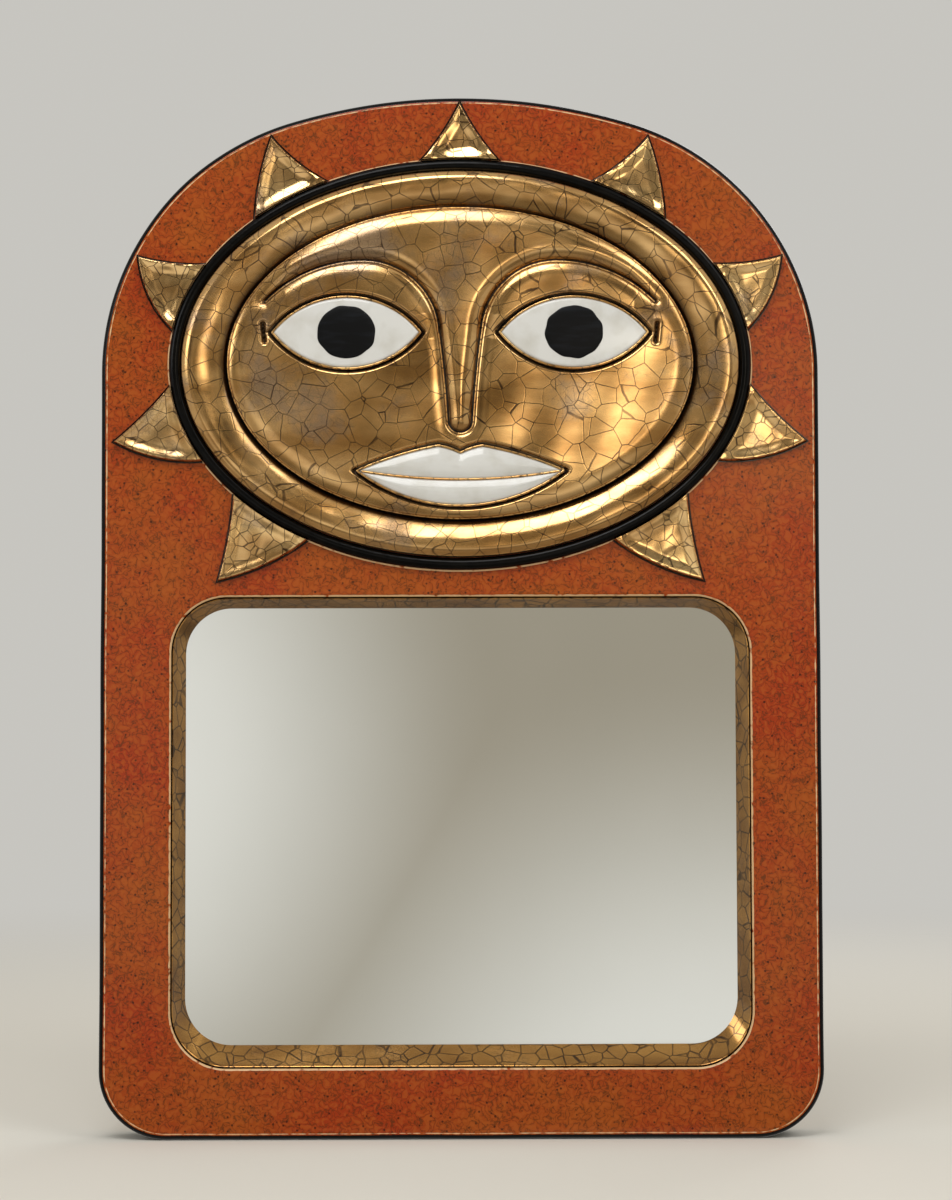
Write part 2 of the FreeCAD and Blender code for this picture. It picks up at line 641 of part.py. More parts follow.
def lips():
    """The upper and the lower lip, apart along the parting."""
    peak_across, peak_up = on_face("lip_peak_x", "lip_peak_z")
    _, level = on_face("0", "mouth_level")
    sag = f"({LIFT} * mouth_sag)"
    end_high = f"({level} + lip_end)"
    upper_corners = (
        (f"-{LIP_REACH}", level), (LIP_REACH, level), (LIP_REACH, end_high), (peak_across, peak_up),
        on_face("0", "lip_dip_z"), (f"-{peak_across}", peak_up), (f"-{LIP_REACH}", end_high),
    )
    lip("lip_upper", upper_corners,
        (sag, None, "lip_swell", "lip_peak_swell", "lip_peak_swell", "lip_swell", None))
    parting = f"({level} - lower_lip_drop)"
    end_low = f"({parting} - lip_end)"
    lower_corners = (
        (f"-{LIP_REACH}", end_low), (LIP_REACH, end_low), (LIP_REACH, parting), (f"-{LIP_REACH}", parting),
    )
    lip("lip_lower", lower_corners,
        (f"({LIFT} * lower_lip_sag - lower_lip_drop - lip_end)", None, f"-{sag}", None))


def ray(kind, label, side):
    """One curved ray, its base fitted to the outside of the bead."""
    body = new_body(label)
    across = f"({RING_HALF_WIDTH} + ray_gap)"
    up = f"({RING_HALF_HEIGHT} + ray_gap)"
    tuck = f"(1 - bead_width / {RING_HALF_HEIGHT})"

    def on_bead(angle, share):
        place_across = f"({side} * {share} * {across} * cos({angle}))"
        place_up = f"({SUN_HEIGHT} + {share} * {up} * sin({angle}))"
        return place_across, place_up

    start = f"{kind}_ray_start"
    end = f"{kind}_ray_end"
    turn = f"{kind}_ray_tip"
    reach = f"{kind}_ray_reach"
    tip_up = f"({SUN_HEIGHT} + ({up} + {reach}) * sin({turn}))"
    tip = (f"({side} * ({across} + {reach}) * cos({turn}))", tip_up)
    corners = (on_bead(start, tuck), on_bead(start, "1"), tip, on_bead(end, "1"), on_bead(end, tuck))
    bulges = (None, f"({side} * {kind}_ray_start_swell)", f"({side} * {kind}_ray_end_swell)", None, None)
    outline = new_sketch(body, "outline", FRONT)
    draw_loop(outline, corners, bulges)
    pad(body, outline, "ray_thickness")
    seat = new_sketch(body, "seat", FRONT)
    draw_sun_ellipse(seat, across, up)
    pocket(body, seat, "ray_thickness", forwards=True)
    round_front(body, f"({FRONT} + ray_thickness)", "ray_round")


def rays():
    """Nine rays: one at the top and four pairs."""
    ray("top", "ray_top", RIGHT)
    for kind in RAYS:
        if kind != "top":
            for name, side in SIDES.items():
                ray(kind, f"ray_{kind}_{name}", side)


def turn_button(label, side, across, up):
    """A flat turn button that reaches over the edge of the cover and swings clear of it."""
    body = new_body(label)
    front = f"({CARRIER_BACK} - button_play)"
    half = "(button_width / 2)"
    tail = f"({across} + {side} * (button_tail - {half}))"
    nose = f"({across} - {side} * (button_length - button_tail - {half}))"
    low = f"({up} - {half})"
    high = f"({up} + {half})"
    outline = new_sketch(body, "outline", front)
    corners = (
        (nose, low), (tail, low), (f"({tail} + {side} * {half})", up),
        (tail, high), (nose, high), (f"({nose} - {side} * {half})", up),
    )
    end = f"({side} * {QUARTER_BOW} * {half})"
    draw_loop(outline, corners, (None, end, end, None, end, end))
    draw_circle(outline, across, up, "(screw_radius + pivot_fit)")
    pad(body, outline, "button_thickness", backwards=True)


def screws(label, places, head_front):
    """A group of equal wood screws: shanks in the carrier panel, round heads behind."""
    body = new_body(label)
    shanks = new_sketch(body, "shanks", head_front)
    heads = new_sketch(body, "heads", head_front)
    for across, up in places:
        draw_circle(shanks, across, up, "screw_radius")
        draw_circle(heads, across, up, "screw_head_radius")
    pad(body, heads, "screw_head_height", backwards=True)
    pad(body, shanks, f"screw_depth + {CARRIER_BACK} - ({head_front})")
    round_front(body, f"({head_front} - screw_head_height)", "screw_head_height / 2")


def hanger(name, across):
    """A hanger: a strap with a rolled eye, and the wire ring that swings in the eye."""
    strap = new_body(f"hanger_strap_{name}")
    plate = new_sketch(strap, "plate", CARRIER_BACK)
    left = f"({across} - strap_width / 2)"
    right = f"({across} + strap_width / 2)"
    low = f"({HANGER_HEIGHT} - strap_length)"
    corners = ((left, low), (right, low), (right, HANGER_HEIGHT), (left, HANGER_HEIGHT))
    draw_loop(plate, corners, (None,) * 4)
    draw_circle(plate, across, f"({HANGER_HEIGHT} - strap_screw_drop)", "(screw_radius + screw_fit)")
    pad(strap, plate, "strap_thickness", backwards=True)
    eye_section = new_sketch(strap, "eye", across, plane="YZ_Plane")
    draw_circle(eye_section, f"-{RING_AXIS}", HANGER_HEIGHT, STRAP_EYE_RADIUS)
    rolled = pad(strap, eye_section, "strap_width")
    rolled.SideType = "Symmetric"
    bore = new_sketch(strap, "bore", across, plane="YZ_Plane")
    draw_circle(bore, f"-{RING_AXIS}", HANGER_HEIGHT, "(wire_radius + wire_fit)")
    bored = pocket(strap, bore, "2 * strap_width")
    bored.SideType = "Symmetric"

    ring = new_body(f"hanger_ring_{name}")
    path = new_sketch(ring, "path", RING_AXIS)
    far_left = f"({across} - ring_half_span)"
    far_right = f"({across} + ring_half_span)"
    near_left = f"({far_left} + ring_corner)"
    near_right = f"({far_right} - ring_corner)"
    bend = f"({HANGER_HEIGHT} - ring_corner)"
    bow = f"({HANGER_HEIGHT} - ring_drop)"
    corner_bow = f"(-{QUARTER_BOW} * ring_corner)"
    half_bow = f"(-{QUARTER_BOW} * ring_half_span)"
    bends = (
        (across, HANGER_HEIGHT), (near_right, HANGER_HEIGHT), (far_right, bend), (far_right, bow),
        (across, f"({bow} - ring_half_span)"), (far_left, bow), (far_left, bend), (near_left, HANGER_HEIGHT),
    )
    draw_loop(path, bends, (None, corner_bow, None, half_bow, half_bow, None, corner_bow, None))
    section = new_sketch(ring, "section", across, plane="YZ_Plane")
    draw_circle(section, f"-{RING_AXIS}", HANGER_HEIGHT, "wire_radius")
    doc.recompute()
    wire = ring.newObject("PartDesign::AdditivePipe", f"hanger_ring_{name}_wire")
    wire.Profile = section
    wire.Spine = (path, [f"Edge{number}" for number in range(1, len(bends) + 1)])


def check_and_write():
    """Stops at any failed object or unsound piece, then writes each piece to its own file."""
    doc.recompute()
    failed = [thing.Label for thing in doc.Objects if "Invalid" in thing.State or "Error" in thing.State]
    unsound = [label for label, piece in pieces.items() if piece.Shape.isNull() or not piece.Shape.isValid()]
    if failed or unsound:
        raise RuntimeError(f"failed: {failed}, unsound: {unsound}")
    os.makedirs("parts", exist_ok=True)
    for label, piece in pieces.items():
        piece.Shape.exportStep(os.path.join("parts", f"{label}.step"))
        print(label, len(piece.Shape.Solids), "solids", round(piece.Shape.Volume / 1000, 2), "cm3")


fill_sheet()
frame_body()
window_liner()
sheet_behind_window("mirror_glass", SEAT, "glass_thickness")
sheet_behind_window("packing_card", f"{SEAT} - glass_thickness", "card_thickness")
sheet_behind_window("mirror_cover", f"{SEAT} - glass_thickness - card_thickness", "cover_thickness")
carrier_panel()
sun_disc()
bead_ring()
face_plate()
brow_and_nose()
for side_name, side_sign in SIDES.items():
    eyelid(side_name, side_sign)
    eye(side_name, side_sign)
lips()
rays()
for button_label, button_side, button_across, button_up in button_places():
    turn_button(button_label, button_side, button_across, button_up)
screws("turn_button_screws", [(across, up) for _, _, across, up in button_places()],
       f"({CARRIER_BACK} - 2 * button_play - button_thickness)")
for hanger_name, hanger_across in hanger_places():
    hanger(hanger_name, hanger_across)
screws("hanger_screws", [(across, f"({HANGER_HEIGHT} - strap_screw_drop)") for _, across in hanger_places()],
       f"({CARRIER_BACK} - strap_thickness)")
check_and_write()
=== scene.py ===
import logging
import math
from dataclasses import dataclass, field
from enum import Enum, IntEnum
from functools import cache
from typing import Any, Optional, Sequence

import bmesh
import bpy
import numpy as np
from mathutils import Matrix, Vector


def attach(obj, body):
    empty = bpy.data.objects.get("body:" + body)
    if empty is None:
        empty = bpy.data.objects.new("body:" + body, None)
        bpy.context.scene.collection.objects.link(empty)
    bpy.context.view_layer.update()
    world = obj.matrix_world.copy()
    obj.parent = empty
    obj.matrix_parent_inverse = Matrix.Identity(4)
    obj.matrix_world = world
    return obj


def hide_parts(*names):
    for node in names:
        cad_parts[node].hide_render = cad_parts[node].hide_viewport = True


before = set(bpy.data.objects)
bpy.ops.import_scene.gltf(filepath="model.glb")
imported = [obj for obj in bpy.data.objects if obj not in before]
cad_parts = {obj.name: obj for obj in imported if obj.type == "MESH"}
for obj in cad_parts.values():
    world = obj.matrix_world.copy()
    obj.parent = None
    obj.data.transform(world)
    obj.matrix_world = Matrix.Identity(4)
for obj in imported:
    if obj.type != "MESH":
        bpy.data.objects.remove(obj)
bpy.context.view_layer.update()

# The looks of an arched ceramic mirror frame with a gold sun face.
# Sizes are millimetres until a mesh is made. Points are (across, forward, up): across to the right as seen
# from the front, forward out of the front face, up from the flat base. Flat points are (across, up).

LOG = logging.getLogger("framed_mirror")

Material = bpy.types.Material
Tree = bpy.types.NodeTree
Socket = bpy.types.NodeSocket
Faces = list[tuple[int, ...]]

MM = 0.001
FRONT = 17.0
RELIEF = 25.0
SEAT = 1.0
PANEL_BACK = -11.0
SUN_UP = 430.5
SUN = np.array((0.0, SUN_UP))
MIRRORED = np.array((-1.0, 1.0))
QUARTER = math.pi / 2
FULL_TURN = 2 * math.pi
# Rise of a quarter circle over its chord, as a share of its radius.
QUARTER_RISE = 1 - math.sqrt(0.5)

MATH = "ShaderNodeMath"
VECTOR = "ShaderNodeVectorMath"
NOISE = "ShaderNodeTexNoise"
CELLS = "ShaderNodeTexVoronoi"
RANGE = "ShaderNodeMapRange"
BUMP = "ShaderNodeBump"
SMOOTH = {"interpolation_type": "SMOOTHSTEP"}


class Slot(Enum):
    """The finishes that the record names."""

    ORANGE = "orange_glaze"
    GOLD = "gold_lustre"
    BLACK = "black_glaze"
    WHITE = "white_glaze"
    BRASS = "brass"
    STEEL = "plated_steel"


class Side(Enum):
    """The two sides, as seen from the front."""

    LEFT = -1
    RIGHT = 1

    @property
    def word(self) -> str:
        """The side's name in lower case."""
        return self.name.lower()


class Coat(IntEnum):
    """The places of the frame's three finishes."""

    FACE = 0
    SIDES = 1
    BACK = 2


def linear(hex_code: str) -> tuple[float, ...]:
    """Turns an sRGB hex colour to linear red, green and blue, with an alpha of one.

    Args:
        hex_code: Six digits after a hash sign.

    Returns:
        The four channels.
    """
    channels = []
    for start in (1, 3, 5):
        value = int(hex_code[start:start + 2], 16) / 255
        channels.append(value / 12.92 if value <= 0.04045 else ((value + 0.055) / 1.055) ** 2.4)
    return (*channels, 1.0)


def add_node(tree: Tree, kind: str, inputs: Optional[dict[Any, Any]] = None, out: Any = 0,
             **settings: Any) -> Optional[Socket]:
    """Adds a node with its settings and links.

    Args:
        tree: The tree that gets the node.
        kind: Blender's name for the kind of node.
        inputs: A value, another node's socket or a list of sockets for each input, by its name or number.
        out: Name or number of the output that is handed on.
        settings: Properties of the node itself.

    Returns:
        That output, or None where the node has no output.
    """
    node = tree.nodes.new(kind)
    for name, value in settings.items():
        setattr(node, name, value)
    for place, given in (inputs or {}).items():
        for value in given if isinstance(given, list) else [given]:
            if isinstance(value, Socket):
                tree.links.new(value, node.inputs[place])
            else:
                node.inputs[place].default_value = value
    return node.outputs[out] if node.outputs else None


def start_material(name: str) -> tuple[Material, Tree, Socket]:
    """Makes a material with an empty node tree.

    Args:
        name: The material's name.

    Returns:
        The material, its tree and the piece's own coordinates.
    """
    material = bpy.data.materials.new(name)
    material.use_nodes = True
    material.node_tree.nodes.clear()
    return material, material.node_tree, add_node(material.node_tree, "ShaderNodeTexCoord", out="Object")


def finish_material(tree: Tree, inputs: dict[Any, Any], shader: str = "BsdfPrincipled") -> None:
    """Ends a material's tree in one shader with its values and links."""
    surface = add_node(tree, "ShaderNode" + shader, inputs)
    add_node(tree, "ShaderNodeOutputMaterial", {"Surface": surface})


def layered(tree: Tree, ground: str, layers: Sequence[tuple[Socket, str]]) -> Socket:
    """Lays tones over a ground.

    Args:
        tree: The material's tree.
        ground: The lowest tone.
        layers: How much of each tone shows, and the tone.

    Returns:
        The colour.
    """
    colour = linear(ground)
    for mask, tone in layers:
        colour = add_node(tree, "ShaderNodeMix", {0: mask, 6: colour, 7: linear(tone)}, 2, data_type="RGBA")
    return colour


def spot(tree: Tree, place: Socket, middle: Sequence[float], reach: Sequence[float],
         values: Sequence[float]) -> Socket:
    """Makes a value that changes softly round a middle.

    Args:
        tree: The material's tree.
        place: The piece's own coordinates.
        middle: The middle in metres.
        reach: How far from it the change starts and ends, in metres.
        values: The value there.

    Returns:
        The value.
    """
    away = add_node(tree, VECTOR, {0: place, 1: middle}, "Value", operation="DISTANCE")
    return add_node(tree, RANGE, {"Value": away, "From Min": reach[0], "From Max": reach[1],
                                  "To Min": values[0], "To Max": values[1]}, **SMOOTH)


@dataclass(frozen=True)
class OrangeGlaze:
    """Orange earthenware glaze, poured and fired glossy.

    The fired glaze breaks into fine winding olive lines and dark iron specks over red and ochre patches,
    and runs thin over every edge, where the pale body shows as a broken line. The same broken pale line
    also stands in for a painted highlight along the edges.
    """

    name: str = "orange_earthenware_glaze_fired_glossy"
    slot: Slot = Slot.ORANGE
    red: str = "#97310A"
    ochre: str = "#98460F"
    bright: str = "#B05B1C"
    olive: str = "#40290C"
    speck: str = "#241408"
    # The pale body where the glaze wore thin, also used as a painted highlight along the edges.
    cream: str = "#DDB98A"
    patch: float = 52.0
    winding: float = 4.2
    speck_spacing: float = 4.1
    pale_line_break: float = 4.0
    roughness: float = 0.26

    def build(self) -> Material:
        """Builds the glaze.

        Returns:
            The material. It reads the piece's own attribute of wear and painted light for the pale line along
            the edges: glaze worn thin, and a painted highlight.
        """
        material, tree, place = start_material(self.name)
        patches = add_node(tree, NOISE, {
            "Vector": place, "Scale": 1 / (self.patch * MM), "Detail": 4.0, "Roughness": 0.6})
        ochre = add_node(tree, RANGE, {"Value": patches, "From Min": 0.36, "From Max": 0.64})
        # The winding lines lie about 1 mm apart, where a noise crosses its middle value.
        lines = add_node(tree, NOISE, {
            "Vector": place, "Scale": 1 / (self.winding * MM), "Detail": 2.5, "Distortion": 0.6})
        centred = add_node(tree, MATH, {0: lines, 1: 0.5}, operation="SUBTRACT")
        crossing = add_node(tree, MATH, {0: centred}, operation="ABSOLUTE")
        dots = add_node(tree, CELLS, {"Vector": place, "Scale": 1 / (self.speck_spacing * MM)}, "Distance")
        wear_and_painted_light = add_node(tree, "ShaderNodeAttribute", None, "Fac", attribute_name="edge_wear_and_painted_light")
        breaks = add_node(tree, NOISE, {"Vector": place, "Scale": 1 / (self.pale_line_break * MM), "Detail": 3.0})
        broken = add_node(tree, MATH, {0: wear_and_painted_light, 1: breaks}, operation="MULTIPLY")
        layers = [(ochre, self.ochre)]
        # The last layer is the pale line along the edges: glaze worn thin, and a painted highlight.
        for value, low, high, share, tone in ((crossing, 0.05, 0.16, 0.36, self.bright),
                                              (crossing, 0.034, 0.006, 0.62, self.olive),
                                              (dots, 0.22, 0.09, 0.8, self.speck),
                                              (broken, 0.3, 0.44, 0.9, self.cream)):
            mask = add_node(tree, RANGE, {
                "Value": value, "From Min": low, "From Max": high, "To Max": share}, **SMOOTH)
            layers.append((mask, tone))
        ripple = add_node(tree, BUMP, {"Strength": 0.25, "Distance": 0.35 * MM, "Height": lines})
        finish_material(tree, {
            "Base Color": layered(tree, self.red, layers), "Roughness": self.roughness, "IOR": 1.5,
            "Specular IOR Level": 0.24, "Normal": ripple})
        return material


@dataclass(frozen=True)
class GoldLustre:
    """Gold lustre fired over a crackled glaze.

    The thin metal film mirrors softly, the glaze under it shows as dark hairline cracks, pressed grooves
    get a dark line of painted shade, and the film is rubbed to a grey violet bloom in patches.
    """

    name: str = "gold_lustre_fired_over_crackled_glaze"
    gold: str = "#E4B878"
    deep: str = "#B98A4E"
    slot: Slot = Slot.GOLD
    bloom: str = "#A28B74"
    crack: str = "#3A220E"
    # Painted shade in the grooves and creases.
    groove: str = "#1C1007"
    cell: float = 11.0
    # How far the cracks bend, as a share of a cell.
    bend: float = 0.08
    crack_width: float = 0.42
    bloom_size: float = 42.0
    bloom_share: float = 0.75
    # Middle (across, up) and reach of the places that are rubbed most.
    rubbed: tuple[tuple[float, float, float], ...] = (
        (-96.0, 415.0, 44.0), (-4.0, 479.0, 34.0), (-40.0, 503.0, 30.0), (56.0, 411.0, 26.0))
    rub: float = 0.14
    stroke: float = 24.0
    roughness: float = 0.15

    def build(self) -> Material:
        """Builds the lustre.

        Returns:
            The material. It reads the piece's own attribute of wear and painted light for the painted shade
            in the grooves.
        """
        material, tree, place = start_material(self.name)
        sway = add_node(tree, NOISE, {"Vector": place, "Scale": 1 / (self.cell * 0.8 * MM), "Detail": 2.0})
        bend = (self.cell * self.bend * MM,) * 3
        bent = add_node(tree, VECTOR, {0: sway.node.outputs["Color"], 1: bend, 2: place},
                        operation="MULTIPLY_ADD")
        width = self.crack_width / self.cell
        nets = []
        for size, spread, share in ((1.0, 0.8, 1.0), (0.52, 0.9, 0.5)):
            edge = add_node(tree, CELLS, {"Vector": bent, "Scale": 1 / (self.cell * size * MM)},
                            feature="DISTANCE_TO_EDGE")
            nets.append(add_node(tree, RANGE, {
                "Value": edge, "From Min": width * 0.2, "From Max": width * spread, "To Min": share,
                "To Max": 0.0}, **SMOOTH))
        blooms = add_node(tree, NOISE, {
            "Vector": place, "Scale": 1 / (self.bloom_size * MM), "Detail": 5.0, "Roughness": 0.62})
        for across, up, reach in self.rubbed:
            middle = (across * MM, -RELIEF * MM, up * MM)
            near = spot(tree, place, middle, (0.0, reach * MM), (self.rub, 0.0))
            blooms = add_node(tree, MATH, {0: blooms, 1: near}, operation="ADD")
        hair_patch = add_node(tree, RANGE, {"Value": blooms, "From Min": 0.5, "From Max": 0.62}, **SMOOTH)
        hairs = add_node(tree, MATH, {0: nets[1], 1: hair_patch}, operation="MULTIPLY")
        lines = add_node(tree, MATH, {0: nets[0], 1: hairs}, operation="MAXIMUM")
        brushed = add_node(tree, "ShaderNodeMapping", {"Vector": place, "Scale": (0.55, 1.0, 1.4)})
        depth = add_node(tree, NOISE, {"Vector": brushed, "Scale": 1 / (self.stroke * MM), "Detail": 3.0})
        thick = add_node(tree, RANGE, {"Value": depth, "From Min": 0.35, "From Max": 0.65})
        worn = add_node(tree, RANGE, {
            "Value": blooms, "From Min": 0.52, "From Max": 0.7, "To Max": self.bloom_share}, **SMOOTH)
        faint = add_node(tree, RANGE, {
            "Value": sway, "From Min": 0.35, "From Max": 0.65, "To Min": 0.55, "To Max": 0.9})
        cracked = add_node(tree, MATH, {0: lines, 1: faint}, operation="MULTIPLY")
        # Painted shade, where the piece marks its grooves.
        hollow = add_node(tree, "ShaderNodeAttribute", None, "Fac", attribute_name="edge_wear_and_painted_light")
        colour = layered(tree, self.deep, (
            (thick, self.gold), (worn, self.bloom), (cracked, self.crack), (hollow, self.groove)))
        rough = add_node(tree, RANGE, {
            "Value": blooms, "From Min": 0.35, "From Max": 0.75, "To Min": self.roughness * 0.8,
            "To Max": self.roughness * 1.9})
        strokes = add_node(tree, BUMP, {"Strength": 0.3, "Distance": 0.5 * MM, "Height": depth})
        grooves = add_node(tree, BUMP, {
            "Strength": 0.12, "Distance": 0.12 * MM, "Height": lines, "Normal": strokes}, invert=True)
        finish_material(tree, {
            "Base Color": colour, "Metallic": 0.95, "Roughness": rough, "Coat Weight": 0.4,
            "Coat Roughness": 0.08, "Normal": grooves})
        return material


@dataclass(frozen=True)
class PlainFinish:
    """A finish of two tones that meet in one pattern, with that pattern or a finer grit as its relief.

    Sizes are in millimetres. The band is where the pattern turns from the main tone to the second.
    """

    name: str
    main: str
    second: str
    pattern: float
    slot: Optional[Slot] = None
    stretch: tuple[float, float, float] = (1.0, 1.0, 1.0)
    distortion: float = 0.0
    band: tuple[float, float] = (0.4, 0.7)
    grit: float = 0.0
    relief: float = 0.2
    relief_share: float = 0.3
    metallic: float = 0.0
    gloss: float = 0.5
    roughness: float = 0.3
    worn: float = 0.0

    def build(self) -> Material:
        """Builds the finish.

        Returns:
            The material.
        """
        material, tree, place = start_material(self.name)
        along = add_node(tree, "ShaderNodeMapping", {"Vector": place, "Scale": self.stretch})
        pattern = add_node(tree, NOISE, {
            "Vector": along, "Scale": 1 / (self.pattern * MM), "Detail": 4.0, "Distortion": self.distortion})
        mask = add_node(tree, RANGE, {"Value": pattern, "From Min": self.band[0], "From Max": self.band[1]})
        height = pattern
        if self.grit:
            height = add_node(tree, NOISE, {"Vector": place, "Scale": 1 / (self.grit * MM), "Detail": 2.0})
        bump = add_node(tree, BUMP, {
            "Strength": self.relief_share, "Distance": self.relief * MM, "Height": height})
        rough = self.roughness
        if self.worn:
            rough = add_node(tree, RANGE, {
                "Value": pattern, "From Min": 0.3, "From Max": 0.75, "To Min": rough * (1 - self.worn),
                "To Max": rough * (1 + 2 * self.worn)})
        finish_material(tree, {
            "Base Color": layered(tree, self.main, ((mask, self.second),)), "Metallic": self.metallic,
            "Roughness": rough, "Specular IOR Level": self.gloss, "Normal": bump})
        return material


class Paint(Enum):
    """Every finish of the object, with a comment on what it gives the eye."""

    ORANGE = OrangeGlaze()
    GOLD = GoldLustre()
    # The rays have a paler film over a finer crackle.
    RAY_GOLD = GoldLustre("gold_lustre_on_rays_fine_crackle", "#F3CD8E", "#D5A668", cell=7.5)
    # The reveal is darker all over, hardly rubbed, over wider cracks.
    REVEAL_GOLD = GoldLustre("gold_lustre_on_reveal_dark", "#C6924B", "#9A6B32", crack="#2A180A", cell=9.0,
                             crack_width=0.7, bloom_share=0.2)
    # The drawn lines are bright and finely cracked.
    LINE_GOLD = GoldLustre("gold_lustre_line_drawn", "#EAC07E", "#C89352", cell=7.0, crack_width=0.5)
    # Near black, with faint brush ripples in the gloss.
    BLACK = PlainFinish("black_iron_glaze_brushed_glossy", "#030303", "#0B0907", 5.0, Slot.BLACK,
                        relief=0.4, gloss=0.13, roughness=0.2)
    # Warm white and slightly cloudy, with a wet gleam.
    WHITE = PlainFinish("tin_white_glaze_fired_glossy", "#D2D1CC", "#C2BFB6", 14.0, Slot.WHITE,
                        band=(0.45, 0.75), relief=0.3, relief_share=0.2, roughness=0.14)
    # Half matt, with the streaks of a soft brush and a cool sheen.
    PUPIL = PlainFinish("black_slip_brushed_half_matt", "#050608", "#15181D", 3.5, Slot.BLACK,
                        stretch=(0.2, 1.0, 1.0), band=(0.5, 0.85), relief=0.15, gloss=0.16, roughness=0.36)
    # A clear cool mirror with the faintest haze.
    MIRROR = PlainFinish("float_glass_silvered_on_the_back", "#EFF0EC", "#E4E6E1", 120.0, band=(0.0, 1.0),
                         relief=0.0, relief_share=0.0, metallic=1.0, roughness=0.03)
    # Dry, fine-grained and freckled.
    CLAY = PlainFinish("buff_earthenware_fired_bare", "#A9835C", "#8A5E3C", 9.0, band=(0.2, 0.8), grit=0.9,
                       relief_share=0.4, roughness=0.85)
    # Broad wavy grain that runs up the sheet.
    PLYWOOD = PlainFinish("birch_plywood_rotary_cut", "#C7A373", "#A17C4D", 5.5, stretch=(1.0, 1.0, 0.07),
                          distortion=0.6, band=(0.32, 0.68), relief_share=0.25, roughness=0.62)
    # Pressed fibre with no direction: flecked and dry.
    HARDBOARD = PlainFinish("hardboard_wet_pressed", "#7A5433", "#5C3C22", 2.4, distortion=1.4,
                            band=(0.4, 0.68), roughness=0.7)
    # The same fibre, paler and finer.
    CARD = PlainFinish("grey_card_pressed", "#B4AFA4", "#9B958A", 1.8, distortion=1.4, band=(0.4, 0.68),
                       roughness=0.85)
    # Small fittings, handled until the shine is uneven.
    BRASS = PlainFinish("stamped_brass_handled", "#D1AE62", "#9A7838", 6.0, Slot.BRASS, grit=0.8,
                        relief=0.06, relief_share=0.15, metallic=1.0, worn=0.25)
    # The same wear on a colder, slightly brighter metal.
    STEEL = PlainFinish("nickel_plated_steel_tumbled", "#B9B7B0", "#8C8A83", 6.0, Slot.STEEL, grit=0.8,
                        relief=0.06, relief_share=0.15, metallic=1.0, roughness=0.26, worn=0.25)

    @property
    def material(self) -> Material:
        """The finish's material, built at its first use."""
        return bpy.data.materials.get(self.value.name) or self.value.build()


def arc(start: Sequence[float], end: Sequence[float], bulge: float, count: int) -> np.ndarray:
    """Samples an arc between two points.

    Args:
        start: First point.
        end: Last point.
        bulge: Rise of the arc over its chord, to the right of the travel where it is positive.
        count: How many points, both ends among them.

    Returns:
        The points, one to a row.
    """
    first = np.asarray(start, float)
    last = np.asarray(end, float)
    share = np.linspace(0, 1, count)[:, None]
    if abs(bulge) < 1e-6:
        return first + (last - first) * share
    length = float(np.hypot(*(last - first)))
    along = (last - first) / length
    right = np.array((along[1], -along[0]))
    turn = math.copysign(1.0, bulge)
    radius = (length ** 2 + 4 * bulge ** 2) / (8 * abs(bulge))
    centre = (first + last) / 2 + right * (bulge - turn * radius)
    angles = (share * 2 - 1) * math.asin(min(1.0, length / (2 * radius)))
    return centre + turn * radius * right * np.cos(angles) + radius * along * np.sin(angles)


def circle(middle: Sequence[float], radius: float, first: float, last: float, count: int) -> np.ndarray:
    """Samples part of a circle, from the first angle to the last."""
    angles = np.linspace(first, last, count)
    return np.asarray(middle) + radius * np.column_stack((np.cos(angles), np.sin(angles)))


def round_angles(count: int) -> np.ndarray:
    """Spreads angles evenly over a full turn."""
    return np.linspace(0, FULL_TURN, count, endpoint=False)


def ellipse(half_width: float, half_height: float, count: int) -> np.ndarray:
    """Samples an ellipse about the middle of the sun, anticlockwise from the right."""
    angles = round_angles(count)
    return np.column_stack((half_width * np.cos(angles), SUN_UP + half_height * np.sin(angles)))


def chain(*runs: np.ndarray) -> np.ndarray:
    """Joins runs of points end to end, each without its last point but the final run."""
    return np.vstack([run[:-1] for run in runs[:-1]] + [runs[-1]])


def both_halves(right: np.ndarray) -> np.ndarray:
    """Adds the mirror image of a right half that ends on the middle line."""
    return chain(right, right[::-1] * MIRRORED)


def between(first: np.ndarray, last: np.ndarray, rows: int) -> np.ndarray:
    """Fills the space between two lines with rows of points."""
    return np.vstack([first + (last - first) * share for share in np.linspace(0, 1, rows)])


def unit(vectors: np.ndarray) -> np.ndarray:
    """Brings every row to a length of one."""
    return vectors / np.hypot(vectors[:, 0], vectors[:, 1])[:, None]


def leftward(path: np.ndarray) -> np.ndarray:
    """Gives the direction to the left of the travel at every point of a path."""
    travel = unit(np.gradient(path, axis=0))
    return np.column_stack((-travel[:, 1], travel[:, 0]))


def distance(points: np.ndarray, path: np.ndarray) -> np.ndarray:
    """Measures how far each point is from a path.

    Args:
        points: Flat points.
        path: The corners of the path, in order.

    Returns:
        One distance for each point.
    """
    block_size = 4000
    first = path[:-1]
    span = path[1:] - first
    square = np.maximum((span ** 2).sum(axis=1), 1e-12)
    nearest = np.empty(len(points))
    for low in range(0, len(points), block_size):
        block = points[low:low + block_size, None, :] - first[None]
        share = np.clip((block * span).sum(axis=2) / square, 0, 1)
        gap = block - share[..., None] * span
        nearest[low:low + block_size] = np.sqrt((gap ** 2).sum(axis=2).min(axis=1))
    return nearest


